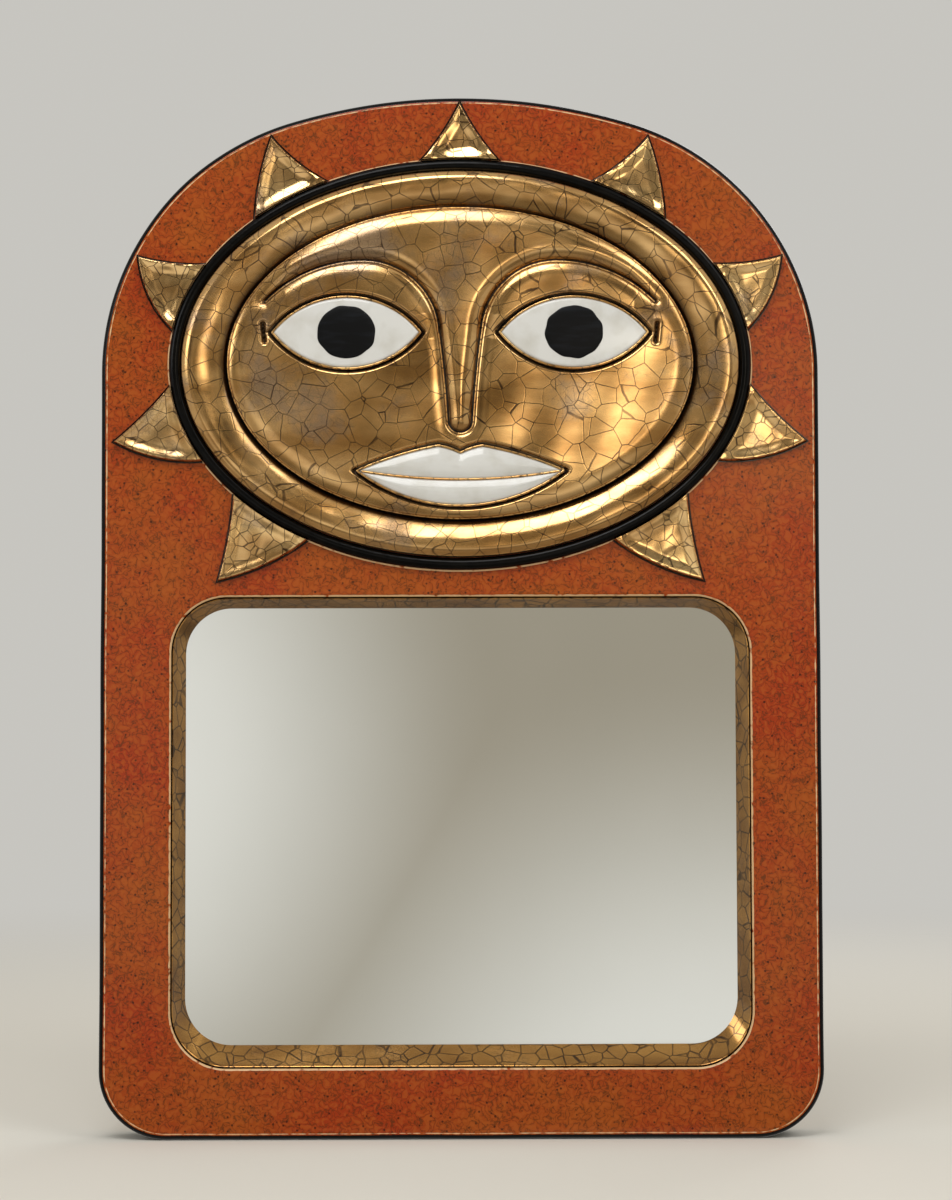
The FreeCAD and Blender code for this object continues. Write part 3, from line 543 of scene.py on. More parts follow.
def inside(points: np.ndarray, outline: np.ndarray) -> np.ndarray:
    """Tells which points lie inside a closed outline.

    Args:
        points: Flat points.
        outline: The corners of the outline, in order.

    Returns:
        True for each point inside.
    """
    found = np.zeros(len(points), bool)
    for (x0, z0), (x1, z1) in zip(outline, np.roll(outline, -1, axis=0)):
        if z0 == z1:
            continue
        crosses = (points[:, 1] > min(z0, z1)) & (points[:, 1] <= max(z0, z1))
        meet = x0 + (points[:, 1] - z0) * (x1 - x0) / (z1 - z0)
        found ^= crosses & (points[:, 0] < meet)
    return found


def pillow(reach: np.ndarray, width: float, power: float = 2.2) -> np.ndarray:
    """Rises from 0 at an edge to 1 at the width, steeply at first, more so with a higher power."""
    return 1 - (1 - np.clip(reach / width, 0, 1)) ** power


def ease(value: Any, low: float, high: float) -> Any:
    """Rises smoothly from 0 at the low value to 1 at the high one."""
    share = np.clip((value - low) / (high - low), 0, 1)
    return share * share * (3 - 2 * share)


def bell(gap: np.ndarray, width: float) -> np.ndarray:
    """Falls smoothly from 1 at no gap to about 0 at twice the width."""
    return np.exp(-(gap / width) ** 2)


def waves(flat: np.ndarray, length: float, seed: int) -> np.ndarray:
    """Makes the gentle unevenness of a surface pressed by hand.

    Args:
        flat: Flat points.
        length: Typical length of a wave.
        seed: Fixes the pattern.

    Returns:
        Heights from about -1 to 1.
    """
    source = np.random.default_rng(seed)
    total = np.zeros(len(flat))
    count = 7
    for _ in range(count):
        heading = source.uniform(0, FULL_TURN)
        phase = source.uniform(0, FULL_TURN)
        size = length * source.uniform(0.65, 1.7)
        along = flat[:, 0] * math.cos(heading) + flat[:, 1] * math.sin(heading)
        total += np.sin(along * FULL_TURN / size + phase)
    return total / math.sqrt(count) / 1.5


def raised(flat: np.ndarray, forward: Any) -> np.ndarray:
    """Gives each flat point a forward place."""
    return np.column_stack((flat[:, 0], np.broadcast_to(forward, len(flat)), flat[:, 1]))


def net(rows: int, columns: int, start: int = 0, close_rows: bool = False,
        close_columns: bool = False) -> Faces:
    """Joins rows of points with four-sided faces.

    Args:
        rows: How many rows.
        columns: Points in each row.
        start: Number of the first point.
        close_rows: Whether the last row joins the first.
        close_columns: Whether each row closes on itself.

    Returns:
        The corners of each face.
    """
    faces = []
    for row in range(rows if close_rows else rows - 1):
        near = start + row * columns
        far = start + (row + 1) % rows * columns
        for place in range(columns if close_columns else columns - 1):
            after = (place + 1) % columns
            faces.append((near + place, near + after, far + after, far + place))
    return faces


def border(rows: int, columns: int) -> list[int]:
    """Lists the points round the edge of a net, in order."""
    index = np.arange(rows * columns).reshape(rows, columns)
    return np.concatenate((index[0, :-1], index[:-1, -1], index[-1, :0:-1], index[:0:-1, 0])).tolist()


def wall(near: Sequence[int], far: Sequence[int]) -> Faces:
    """Joins two closed rings of points with four-sided faces."""
    return [(near[place - 1], near[place], far[place], far[place - 1]) for place in range(len(near))]


def fan(ring: Sequence[int], middle: int) -> Faces:
    """Closes a ring of points with triangles to one middle point."""
    return [(ring[place - 1], ring[place], middle) for place in range(len(ring))]


def in_metres(points: np.ndarray) -> list[list[float]]:
    """Turns points in millimetres to Blender's metres, with forward along the negative y axis."""
    return (points * np.array((MM, -MM, MM))).tolist()


def start_tree(name: str, inputs: dict[str, str]) -> tuple[Tree, Any]:
    """Makes a geometry node tree with named inputs.

    Args:
        name: The tree's name.
        inputs: The kind of each input, by its name, besides Geometry and Material.

    Returns:
        The tree, and the sockets of its inputs by name.
    """
    tree = bpy.data.node_groups.new(name, "GeometryNodeTree")
    for label, kind in {"Geometry": "Geometry", **inputs, "Material": "Material"}.items():
        tree.interface.new_socket(label, in_out="INPUT", socket_type="NodeSocket" + kind)
    tree.interface.new_socket("Geometry", in_out="OUTPUT", socket_type="NodeSocketGeometry")
    return tree, tree.nodes.new("NodeGroupInput").outputs


def finish_tree(tree: Tree, shape: Socket, material: Socket) -> None:
    """Ends a geometry node tree with real, dressed geometry.

    Args:
        tree: The tree.
        shape: What it made.
        material: The finish that it was given.
    """
    real = add_node(tree, "GeometryNodeRealizeInstances", {"Geometry": shape})
    dressed = add_node(tree, "GeometryNodeSetMaterial", {"Geometry": real, "Material": material})
    add_node(tree, "NodeGroupOutput", {0: dressed})


@cache
def rod_tree() -> Tree:
    """Builds the tree that lays a slightly uneven round rod along a path.

    Returns:
        The tree, with inputs Radius, Spacing, Sides, Wobble, Wave and Material.
    """
    tree, given = start_tree("rod_along_path", {
        "Radius": "Float", "Spacing": "Float", "Sides": "Int", "Wobble": "Float", "Wave": "Float"})
    path = add_node(tree, "GeometryNodeMeshToCurve", {"Mesh": given["Geometry"]})
    even = add_node(tree, "GeometryNodeResampleCurve", {"Curve": path, "Length": given["Spacing"]},
                    mode="LENGTH")
    frequency = add_node(tree, MATH, {0: 1.0, 1: given["Wave"]}, operation="DIVIDE")
    noise = add_node(tree, NOISE, {"Scale": frequency, "Detail": 1.0, "W": 3.0}, noise_dimensions="4D")
    swing = add_node(tree, RANGE, {
        "Value": noise, "From Min": 0.25, "From Max": 0.75, "To Min": -1.0, "To Max": 1.0})
    uneven = add_node(tree, MATH, {0: swing, 1: given["Wobble"], 2: 1.0}, operation="MULTIPLY_ADD")
    thick = add_node(tree, "GeometryNodeSetCurveRadius", {"Curve": even, "Radius": uneven})
    section = add_node(tree, "GeometryNodeCurvePrimitiveCircle", {
        "Resolution": given["Sides"], "Radius": given["Radius"]})
    radius = add_node(tree, "GeometryNodeInputRadius")
    rod = add_node(tree, "GeometryNodeCurveToMesh", {
        "Curve": thick, "Profile Curve": section, "Scale": radius, "Fill Caps": True})
    finish_tree(tree, rod, given["Material"])
    return tree


@cache
def screw_tree() -> Tree:
    """Builds the tree that sets a slotted round-headed screw at every point, each turned a little.

    Returns:
        The tree, with inputs Head Radius, Dome Radius, Head Height, Slot, Shank Radius, Shank Length, Seed
        and Material.
    """
    lengths = ("Head Radius", "Dome Radius", "Head Height", "Slot", "Shank Radius", "Shank Length")
    tree, given = start_tree("screws_at_points", {**dict.fromkeys(lengths, "Float"), "Seed": "Int"})
    height = given["Head Height"]

    def placed(shape: Socket, up: Socket) -> Socket:
        """Moves a shape along the screw's axis."""
        shift = add_node(tree, "ShaderNodeCombineXYZ", {"Z": up})
        return add_node(tree, "GeometryNodeTransform", {"Geometry": shape, "Translation": shift})

    half_height = add_node(tree, MATH, {0: height, 1: 0.5}, operation="MULTIPLY")
    drum = add_node(tree, "GeometryNodeMeshCylinder", {
        "Vertices": 56, "Radius": given["Head Radius"], "Depth": height})
    dome_up = add_node(tree, MATH, {0: height, 1: given["Dome Radius"]}, operation="SUBTRACT")
    ball = add_node(tree, "GeometryNodeMeshUVSphere", {
        "Segments": 80, "Rings": 64, "Radius": given["Dome Radius"]})
    head = add_node(tree, "GeometryNodeMeshBoolean", {
        "Mesh 2": [placed(drum, half_height), placed(ball, dome_up)]}, operation="INTERSECT")
    slot_length = add_node(tree, MATH, {0: given["Head Radius"], 1: 3.0}, operation="MULTIPLY")
    slot_size = add_node(tree, "ShaderNodeCombineXYZ", {"X": slot_length, "Y": given["Slot"], "Z": height})
    cutter = add_node(tree, "GeometryNodeMeshCube", {"Size": slot_size})
    slotted = add_node(tree, "GeometryNodeMeshBoolean", {
        "Mesh 1": head, "Mesh 2": placed(cutter, height)}, operation="DIFFERENCE")
    shank = add_node(tree, "GeometryNodeMeshCylinder", {
        "Vertices": 24, "Radius": given["Shank Radius"], "Depth": given["Shank Length"]})
    shank_up = add_node(tree, MATH, {0: given["Shank Length"], 1: -0.5}, operation="MULTIPLY")
    screw = add_node(tree, "GeometryNodeJoinGeometry", {"Geometry": [slotted, placed(shank, shank_up)]})
    turns = add_node(tree, "FunctionNodeRandomValue", {
        "Min": (-QUARTER, -1.2, 0.0), "Max": (-QUARTER, 1.2, 0.0), "Seed": given["Seed"]},
        data_type="FLOAT_VECTOR")
    screws = add_node(tree, "GeometryNodeInstanceOnPoints", {
        "Points": given["Geometry"], "Instance": screw, "Rotation": turns})
    finish_tree(tree, screws, given["Material"])
    return tree


@dataclass(frozen=True)
class Piece:
    """One visible piece: its name, finishes, the solids that it stands for and the body that it rides on."""

    name: str
    paints: tuple[Paint, ...]
    nodes: tuple[str, ...] = ()
    body: str = "frame"

    def solid(self, points: np.ndarray, faces: Faces, wear_and_painted_light: Optional[np.ndarray] = None,
              coats: Optional[np.ndarray] = None, crease: float = 48.0) -> None:
        """Makes the piece from points and faces.

        Args:
            points: Rows of (across, forward, up).
            faces: The corners of each face.
            wear_and_painted_light: How much each point has of the pale worn line with painted highlight on
                the orange glaze, and of painted shade on the gold, from 0 to 1.
            coats: Which finish each face has.
            crease: Edges that turn by more degrees stay sharp.
        """
        mesh = bpy.data.meshes.new(self.name)
        mesh.from_pydata(in_metres(points), [], faces)
        for paint in self.paints:
            mesh.materials.append(paint.material)
        if coats is not None:
            mesh.polygons.foreach_set("material_index", coats.astype(np.int32))
        # This attribute carries the pale worn line with its painted highlight, and the painted shade in
        # grooves.
        if wear_and_painted_light is not None:
            layer = mesh.attributes.new("edge_wear_and_painted_light", "FLOAT", "POINT")
            layer.data.foreach_set("value", wear_and_painted_light.astype(np.float32))
        self.show(mesh, crease)

    def sheet(self, flat: np.ndarray, columns: int, forward: np.ndarray, base: float,
              wear_and_painted_light: Optional[np.ndarray] = None) -> None:
        """Makes the piece as a swelling front over a flat back.

        Args:
            flat: Flat points in rows.
            columns: Points in each row.
            forward: Forward place of each point of the front.
            base: Forward place of the back.
            wear_and_painted_light: How much each point of the front has of the pale worn line with painted
                highlight, and of painted shade, from 0 to 1.
        """
        count = len(flat)
        rows = count // columns
        rim = border(rows, columns)
        points = np.vstack((raised(flat, forward), raised(flat, base)))
        faces = net(rows, columns) + net(rows, columns, count) + wall(rim, [count + place for place in rim])
        self.solid(points, faces, None if wear_and_painted_light is None else np.concatenate((wear_and_painted_light, np.ones(count))))

    def rod(self, path: np.ndarray, closed: bool, radius: float, spacing: float = 0.8, sides: int = 10,
            wobble: float = 0.16, wave: float = 6.0) -> None:
        """Makes the piece as a rod along a path, by default a thin line laid by hand.

        Args:
            path: Rows of (across, forward, up).
            closed: Whether the path closes.
            radius: Radius of the rod.
            spacing: Length of each step along the path.
            sides: Sides of its section.
            wobble: How uneven the radius is, as a share of it.
            wave: Length of the unevenness.
        """
        self.bake(rod_tree(), path, closed, crease=60.0, sizes={
            "Radius": radius * MM, "Spacing": spacing * MM, "Sides": sides, "Wobble": wobble,
            "Wave": wave * MM})

    def bake(self, tree: Tree, places: np.ndarray, closed: bool, crease: float,
             sizes: dict[str, Any]) -> None:
        """Makes the piece with a geometry node tree, and keeps the result as a plain mesh.

        Args:
            tree: The tree.
            places: Rows of (across, forward, up) that the tree works on.
            closed: Whether they make a closed path.
            crease: Edges that turn by more degrees stay sharp.
            sizes: A value for each of the tree's inputs, besides the material.
        """
        count = len(places)
        edges = [(place, (place + 1) % count) for place in range(count if closed else count - 1)]
        path = bpy.data.meshes.new("path")
        path.from_pydata(in_metres(places), edges, [])
        carrier = bpy.data.objects.new("path", path)
        bpy.context.scene.collection.objects.link(carrier)
        modifier = carrier.modifiers.new("build", "NODES")
        modifier.node_group = tree
        values = {**sizes, "Material": self.paints[0].material}
        for item in tree.interface.items_tree:
            if item.in_out == "INPUT" and item.name in values:
                modifier[item.identifier] = values[item.name]
        graph = bpy.context.evaluated_depsgraph_get()
        mesh = bpy.data.meshes.new_from_object(carrier.evaluated_get(graph))
        mesh.name = self.name
        carrier.modifiers.remove(modifier)
        bpy.data.objects.remove(carrier)
        self.show(mesh, crease)

    def show(self, mesh: bpy.types.Mesh, crease: float) -> None:
        """Cleans the mesh, adds it to the scene, hangs it on its body and hides the solids that it stands
        for.

        Args:
            mesh: The piece's mesh.
            crease: Edges that turn by more degrees stay sharp.
        """
        work = bmesh.new()
        work.from_mesh(mesh)
        bmesh.ops.remove_doubles(work, verts=work.verts, dist=2e-6)
        bmesh.ops.dissolve_degenerate(work, edges=work.edges, dist=1e-7)
        bmesh.ops.recalc_face_normals(work, faces=work.faces)
        limit = math.radians(crease)
        for face in work.faces:
            face.smooth = True
        for edge in work.edges:
            edge.smooth = len(edge.link_faces) == 2 and edge.calc_face_angle(0.0) < limit
        work.to_mesh(mesh)
        work.free()
        piece = bpy.data.objects.new(self.name, mesh)
        bpy.context.scene.collection.objects.link(piece)
        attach(piece, self.body)
        if self.nodes:
            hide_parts(*self.nodes)
        LOG.info("%s: %d faces on %s", self.name, len(mesh.polygons), self.body)


@dataclass
class CeramicFrame:
    """The arched ceramic frame with its window, rounded edges, black sides and the recess at the back."""

    half_width: float = 201.0
    height: float = 582.0
    crown_radius: float = 330.0
    shoulder_radius: float = 148.0
    corner_radius: float = 38.0
    depth: float = 34.0
    edge_round: float = 3.4
    back_round: float = 1.0
    pale_line_width: float = 0.8
    rim_width: float = 10.0
    window_half: float = 160.0
    window_low: float = 40.5
    window_high: float = 299.0
    window_radius: float = 30.0
    window_round: float = 2.2
    liner_lip: float = 1.0
    sway: float = 0.3
    face_wave: float = 0.22
    # How steeply the waves of the face fade towards its edges.
    wave_fade: float = 6.0
    round_steps: int = 6
    # The steps of the window's rounding that get the pale line: glaze run thin, and a painted highlight.
    pale_line_steps: tuple[int, ...] = (2, 3, 4)

    def outline(self, inset: float) -> np.ndarray:
        """Samples the outer outline, moved inwards.

        Args:
            inset: How far inwards.

        Returns:
            Flat points, anticlockwise from the lower left corner.
        """
        half = self.half_width - inset
        corner = self.corner_radius - inset
        shoulder = self.shoulder_radius - inset
        reach = self.half_width - self.shoulder_radius
        lift = math.sqrt((self.crown_radius - self.shoulder_radius) ** 2 - reach ** 2)
        crown_up = self.height - self.crown_radius
        spring = crown_up + lift
        lean = math.atan2(lift, reach)
        corner_x = half - corner
        corner_up = inset + corner
        return chain(
            arc((-corner_x, inset), (corner_x, inset), 0, 64),
            circle((corner_x, corner_up), corner, -QUARTER, 0, 22),
            arc((half, corner_up), (half, spring), 0, 84),
            circle((reach, spring), shoulder, 0, lean, 60),
            circle((0, crown_up), self.crown_radius - inset, lean, math.pi - lean, 72),
            circle((-reach, spring), shoulder, math.pi - lean, math.pi, 60),
            arc((-half, spring), (-half, corner_up), 0, 84),
            circle((-corner_x, corner_up), corner, math.pi, math.pi + QUARTER, 22),
        )[:-1]

    def window(self, grow: float) -> np.ndarray:
        """Samples the window's outline on the same spokes as the outer outline.

        Args:
            grow: How far outside the window.

        Returns:
            Flat points.
        """
        middle = np.array((0.0, (self.window_low + self.window_high) / 2))
        core = np.array((self.window_half, (self.window_high - self.window_low) / 2)) - self.window_radius
        spokes = unit(self.outline(0) - middle)
        low = np.zeros(len(spokes))
        high = np.full(len(spokes), 2 * self.half_width)
        for _ in range(40):
            probe = (low + high) / 2
            over = np.abs(spokes * probe[:, None]) - core
            out = np.hypot(*np.maximum(over, 0).T) + np.minimum(over.max(axis=1), 0) - self.window_radius
            low = np.where(out < grow, probe, low)
            high = np.where(out < grow, high, probe)
        return middle + spokes * low[:, None]

    def build(self) -> None:
        """Builds the frame as one closed band of rings, from the window over the face to the back."""
        lip = self.liner_lip
        rings = []
        # Each ring has its points, their forward place, the finish of the band that leaves it, and its pale
        # line of wear with painted highlight.
        for forward in (SEAT, FRONT - self.window_round):
            rings.append((self.window(lip), forward, Coat.SIDES, 0))
        for step in range(1, self.round_steps + 1):
            angle = step / self.round_steps * QUARTER
            flat = self.window(lip + self.window_round * (1 - math.cos(angle)))
            forward = FRONT - self.window_round * (1 - math.sin(angle))
            rings.append((flat, forward, Coat.FACE if step > 1 else Coat.SIDES, step in self.pale_line_steps))
        inner = self.window(lip + self.window_round + self.pale_line_width)
        outer = self.outline(self.edge_round + self.pale_line_width)
        for share in np.linspace(0.0, 1.0, 40):
            flat = inner + (outer - inner) * share
            fade = min(1.0, self.wave_fade * share, self.wave_fade * (1 - share))
            lift = self.face_wave * fade * waves(flat, length=70.0, seed=11)
            rings.append((flat, FRONT + lift, Coat.FACE, 0))
        sway = self.sway * np.clip(0.5 + 0.5 * waves(outer, length=55.0, seed=4), 0, 1)[:, None]
        inward = (self.outline(1.0) - self.outline(0.0)) * sway
        for step in range(self.round_steps + 1):
            angle = step / self.round_steps * QUARTER
            flat = self.outline(self.edge_round * (1 - math.sin(angle))) + inward
            forward = FRONT - self.edge_round * (1 - math.cos(angle))
            # The first step of the outer rounding gets the pale line: glaze worn thin, and a painted
            # highlight.
            rings.append((flat, forward, Coat.SIDES if step else Coat.FACE, step == 0))
        back = FRONT - self.depth
        rim = self.rim_width
        soft = self.back_round
        bevel = 0.3 * soft
        for forward in np.linspace(FRONT - self.edge_round, back + soft, 6)[1:-1]:
            rings.append((self.outline(0.0) + inward, forward, Coat.SIDES, 0))
        for inset, rise in ((0.0, soft), (bevel, bevel), (soft, 0.0), (rim - soft, 0.0),
                            (rim - bevel, bevel), (rim, soft), (rim, SEAT - back)):
            # The back edge sways half as much as the front.
            flat = self.outline(inset) + inward / 2
            rings.append((flat, back + rise, Coat.BACK if inset else Coat.SIDES, 0))
        count = len(outer)
        points = np.vstack([raised(flat, forward) for flat, forward, _, _ in rings])
        coats = np.repeat([coat for _, _, coat, _ in rings], count)
        wear_and_painted_light = np.repeat([float(worn) for _, _, _, worn in rings], count)
        piece = Piece("ceramic_frame", (Paint.ORANGE, Paint.BLACK, Paint.CLAY), ("frame_body",))
        piece.solid(points, net(len(rings), count, close_rows=True, close_columns=True), wear_and_painted_light, coats)


@dataclass
class WindowLiner:
    """The gold reveal that slopes from the window's edge down to the glass."""

    ceramic: CeramicFrame
    sight_half: float = 154.5
    sight_low: float = 50.5
    sight_high: float = 294.6
    sight_radius: float = 26.0
    wall: float = 0.8
    side_drop: float = 1.4
    edge_drop: float = 0.9
    top_drop: float = 1.0
    wave: float = 0.3

    def build(self) -> None:
        """Builds the reveal as a closed band, with a point of the sight edge for each of the window's."""
        front = self.ceramic.window(0.0)
        half_height = (self.sight_high - self.sight_low) / 2
        middle = np.array((0.0, self.sight_low + half_height))
        inner = np.array((self.sight_half, half_height)) - self.sight_radius
        core = np.clip(front - middle, -inner, inner) + middle
        deep = core + unit(front - core) * self.sight_radius
        outside = self.ceramic.window(self.wall)
        rings = [raised(outside, SEAT), raised(outside, FRONT - self.side_drop),
                 raised(self.ceramic.window(self.wall / 2), FRONT - self.edge_drop)]
        top = FRONT - self.top_drop
        for share in np.linspace(0, 1, 15):
            flat = front + (deep - front) * share
            bumps = self.wave * math.sin(share * math.pi) * waves(flat, length=26.0, seed=21)
            rings.append(raised(flat, top - (top - SEAT) * share + bumps))
        faces = net(len(rings), len(front), close_rows=True, close_columns=True)
        Piece("gold_reveal", (Paint.REVEAL_GOLD,), ("window_liner",)).solid(np.vstack(rings), faces)


@dataclass
class SunDish:
    """The gold oval round the face: a broad roll that falls away to the face."""

    half_width: float = 155.7
    half_height: float = 108.4
    inner_half_width: float = 126.4
    inner_half_height: float = 83.9
    floor: float = 19.5
    lip: float = 25.4
    # Where the floor ends and the roll is highest, as shares of the way out.
    foot: float = 0.13
    crest: float = 0.8
    roll_drop: float = 2.9
    climb_power: float = 1.9
    # Where the painted shade on the floor, next to the face, starts to fade and is gone.
    dark: tuple[float, float] = (0.17, 0.34)
    wave: float = 0.28
    back: float = FRONT - 0.4
    count: int = 420

    def build(self) -> None:
        """Builds the dish as rings from under the face out to the frame."""
        outer = ellipse(self.half_width, self.half_height, self.count)
        inner = ellipse(self.inner_half_width, self.inner_half_height, self.count)
        rings = []
        hollow = []
        for share in np.linspace(0, 1, 41):
            flat = inner + (outer - inner) * share
            climb = np.clip((share - self.foot) / (self.crest - self.foot), 0, 1)
            roll = max(0.0, share - self.crest) / (1 - self.crest)
            rise = self.lip - (self.lip - self.floor) * (1 - climb) ** self.climb_power
            rise -= self.roll_drop * roll ** 2
            uneven = self.wave * math.sin(share * math.pi) * waves(flat, length=34.0, seed=5)
            rings.append(raised(flat, rise + uneven))
            # Painted shade on the floor next to the face.
            hollow.append(1 - ease(share, *self.dark))
        rings.append(raised(outer, self.back))
        hollow.append(0.0)
        ends = np.array(((0.0, self.back, SUN_UP), (0.0, self.floor, SUN_UP)))
        last = len(hollow) * self.count
        faces = net(len(rings), self.count, close_columns=True)
        faces += fan(range(self.count), last + 1) + fan(range(last - self.count, last), last)
        wear_and_painted_light = np.concatenate((np.repeat(hollow, self.count), (0.0, 1.0)))
        Piece("sun_dish", (Paint.GOLD,), ("sun_disc",)).solid(np.vstack(rings + [ends]), faces, wear_and_painted_light)


@dataclass
class BlackBead:
    """The black bead round the gold oval, and the low welt of glaze outside it."""

    half_width: float = 159.5
    half_height: float = 112.2
    radius: float = 3.45
    rise: float = 1.4
    welt_pale_line: float = 0.95
    welt_wave: float = 0.2
    # The welt's section, as places (outwards from the bead's side, forward of the face).
    welt: tuple[tuple[float, float], ...] = (
        (-1.2, -0.6), (-1.2, 0.5), (-0.1, 0.75), (0.35, 0.6), (0.75, 0.2), (1.0, -0.6))
    count: int = 420

    def build(self) -> None:
        """Lays the bead along its ellipse, and the welt with its broken pale line: glaze worn through to the
        pale body, and a painted highlight.
        """
        path = raised(ellipse(self.half_width, self.half_height, 360), FRONT + self.rise)
        bead = Piece("black_bead", (Paint.BLACK,), ("bead_ring",))
        bead.rod(path, True, self.radius, spacing=2.4, sides=18, wobble=0.035, wave=22.0)
        middle = ellipse(self.half_width, self.half_height, self.count)
        uneven = self.welt_wave * waves(middle, length=18.0, seed=26)
        rings = []
        for away, rise in self.welt:
            reach = self.radius + away
            flat = ellipse(self.half_width + reach, self.half_height + reach, self.count)
            rings.append(raised(flat, FRONT + rise + uneven * (rise > 0)))
        points = np.vstack(rings)
        faces = net(len(rings), self.count, close_rows=True, close_columns=True)
        Piece("bead_foot", (Paint.ORANGE,)).solid(points, faces, np.full(len(points), self.welt_pale_line))


@dataclass(frozen=True)
class FaceLines:
    """The drawn lines of the sun's face, measured from the middle of the sun, right half first."""

    eye_across: float = 63.4
    eye_up: float = 16.8
    eye_half: float = 40.6
    eye_upper: float = 19.6
    eye_lower: float = 19.8
    # Place of the slit beside and below the eye's corner, and how far it runs across and up.
    slit_gap: float = 5.0
    slit_run: tuple[float, float] = (1.0, 10.0)
    brow_crest: tuple[float, float] = (54.0, 57.5)
    brow_end: tuple[float, float] = (109.0, 34.5)
    brow_root: tuple[float, float] = (12.0, 21.5)
    nose_half: float = 6.6
    nose_up: float = -32.5
    nose_tip: float = 6.5
    nose_bow: float = 0.6
    mouth_half: float = 57.0
    mouth_up: float = -60.5
    mouth_sag: float = 5.0
    lip_peak: tuple[float, float] = (12.5, -46.9)
    lip_dip: float = -51.0
    lip_bow: float = 1.4
    dip_bow: float = 0.6
    lower_sag: float = 19.2
    # How much further the corners of an eye or the mouth move when it grows.
    corner_growth: float = 1.6

    def half_brow(self) -> np.ndarray:
        """Samples the line from the right brow's end down to the tip of the nose.

        Returns:
            Flat points.
        """
        bows = []
        for foot in (self.brow_end, self.brow_root):
            across = abs(self.brow_crest[0] - foot[0])
            up = self.brow_crest[1] - foot[1]
            chord = math.hypot(across, up)
            # An arc with this rise runs level at the crest.
            bows.append(chord * (chord - across) / (2 * up))
        side = (self.nose_half, self.nose_up)
        tip = (0.0, self.nose_up - self.nose_tip)
        return SUN + chain(
            arc(self.brow_end, self.brow_crest, bows[0], 60),
            arc(self.brow_crest, self.brow_root, bows[1], 50),
            arc(self.brow_root, side, self.nose_bow, 30),
            arc(side, tip, -QUARTER_RISE * self.nose_tip, 14),
        )

    def lid_edge(self, inset: float) -> np.ndarray:
        """Samples the edge of the lids and the cheeks along brow and nose, from right to left.

        Args:
            inset: How far the edge lies below the brow and beside the nose.

        Returns:
            Flat points.
        """
        line = self.half_brow()
        right = line + inset * leftward(line)
        right[-1, 0] = 0.0
        return both_halves(right)

    def eye(self, side: Side, grow: float) -> tuple[np.ndarray, np.ndarray]:
        """Samples the outline of one eye, larger all round.

        Args:
            side: Which eye.
            grow: How much larger.

        Returns:
            The lower edge from left to right, and the upper edge from right to left.
        """
        half = self.eye_half + self.corner_growth * grow
        left = (side.value * self.eye_across - half, self.eye_up)
        right = (side.value * self.eye_across + half, self.eye_up)
        lower = SUN + arc(left, right, self.eye_lower + grow, 90)
        return lower, SUN + arc(right, left, self.eye_upper + grow, 90)

    def eye_slit(self) -> np.ndarray:
        """Samples the short slit beside the outer corner of the right eye."""
        low = np.array((self.eye_across + self.eye_half + self.slit_gap, self.eye_up - self.slit_gap))
        return SUN + np.array((low, low + self.slit_run))

    def mouth(self, grow: float) -> tuple[np.ndarray, np.ndarray]:
        """Samples the outline of the mouth, larger all round.

        Args:
            grow: How much larger.

        Returns:
            The lower edge from left to right, and the upper edge from right to left.
        """
        reach = self.mouth_half + self.corner_growth * grow
        peak = (self.lip_peak[0], self.lip_peak[1] + grow)
        dip = (0.0, self.lip_dip + grow)
        corner = (reach, self.mouth_up)
        right = chain(arc(corner, peak, self.lip_bow, 50), arc(peak, dip, self.dip_bow, 16))
        lower = arc((-reach, self.mouth_up), corner, self.lower_sag + grow, 110)
        return SUN + lower, SUN + both_halves(right)

    def parting(self) -> np.ndarray:
        """Samples the line between the lips from left to right."""
        reach = self.mouth_half
        return SUN + arc((-reach, self.mouth_up), (reach, self.mouth_up), self.mouth_sag, 110)


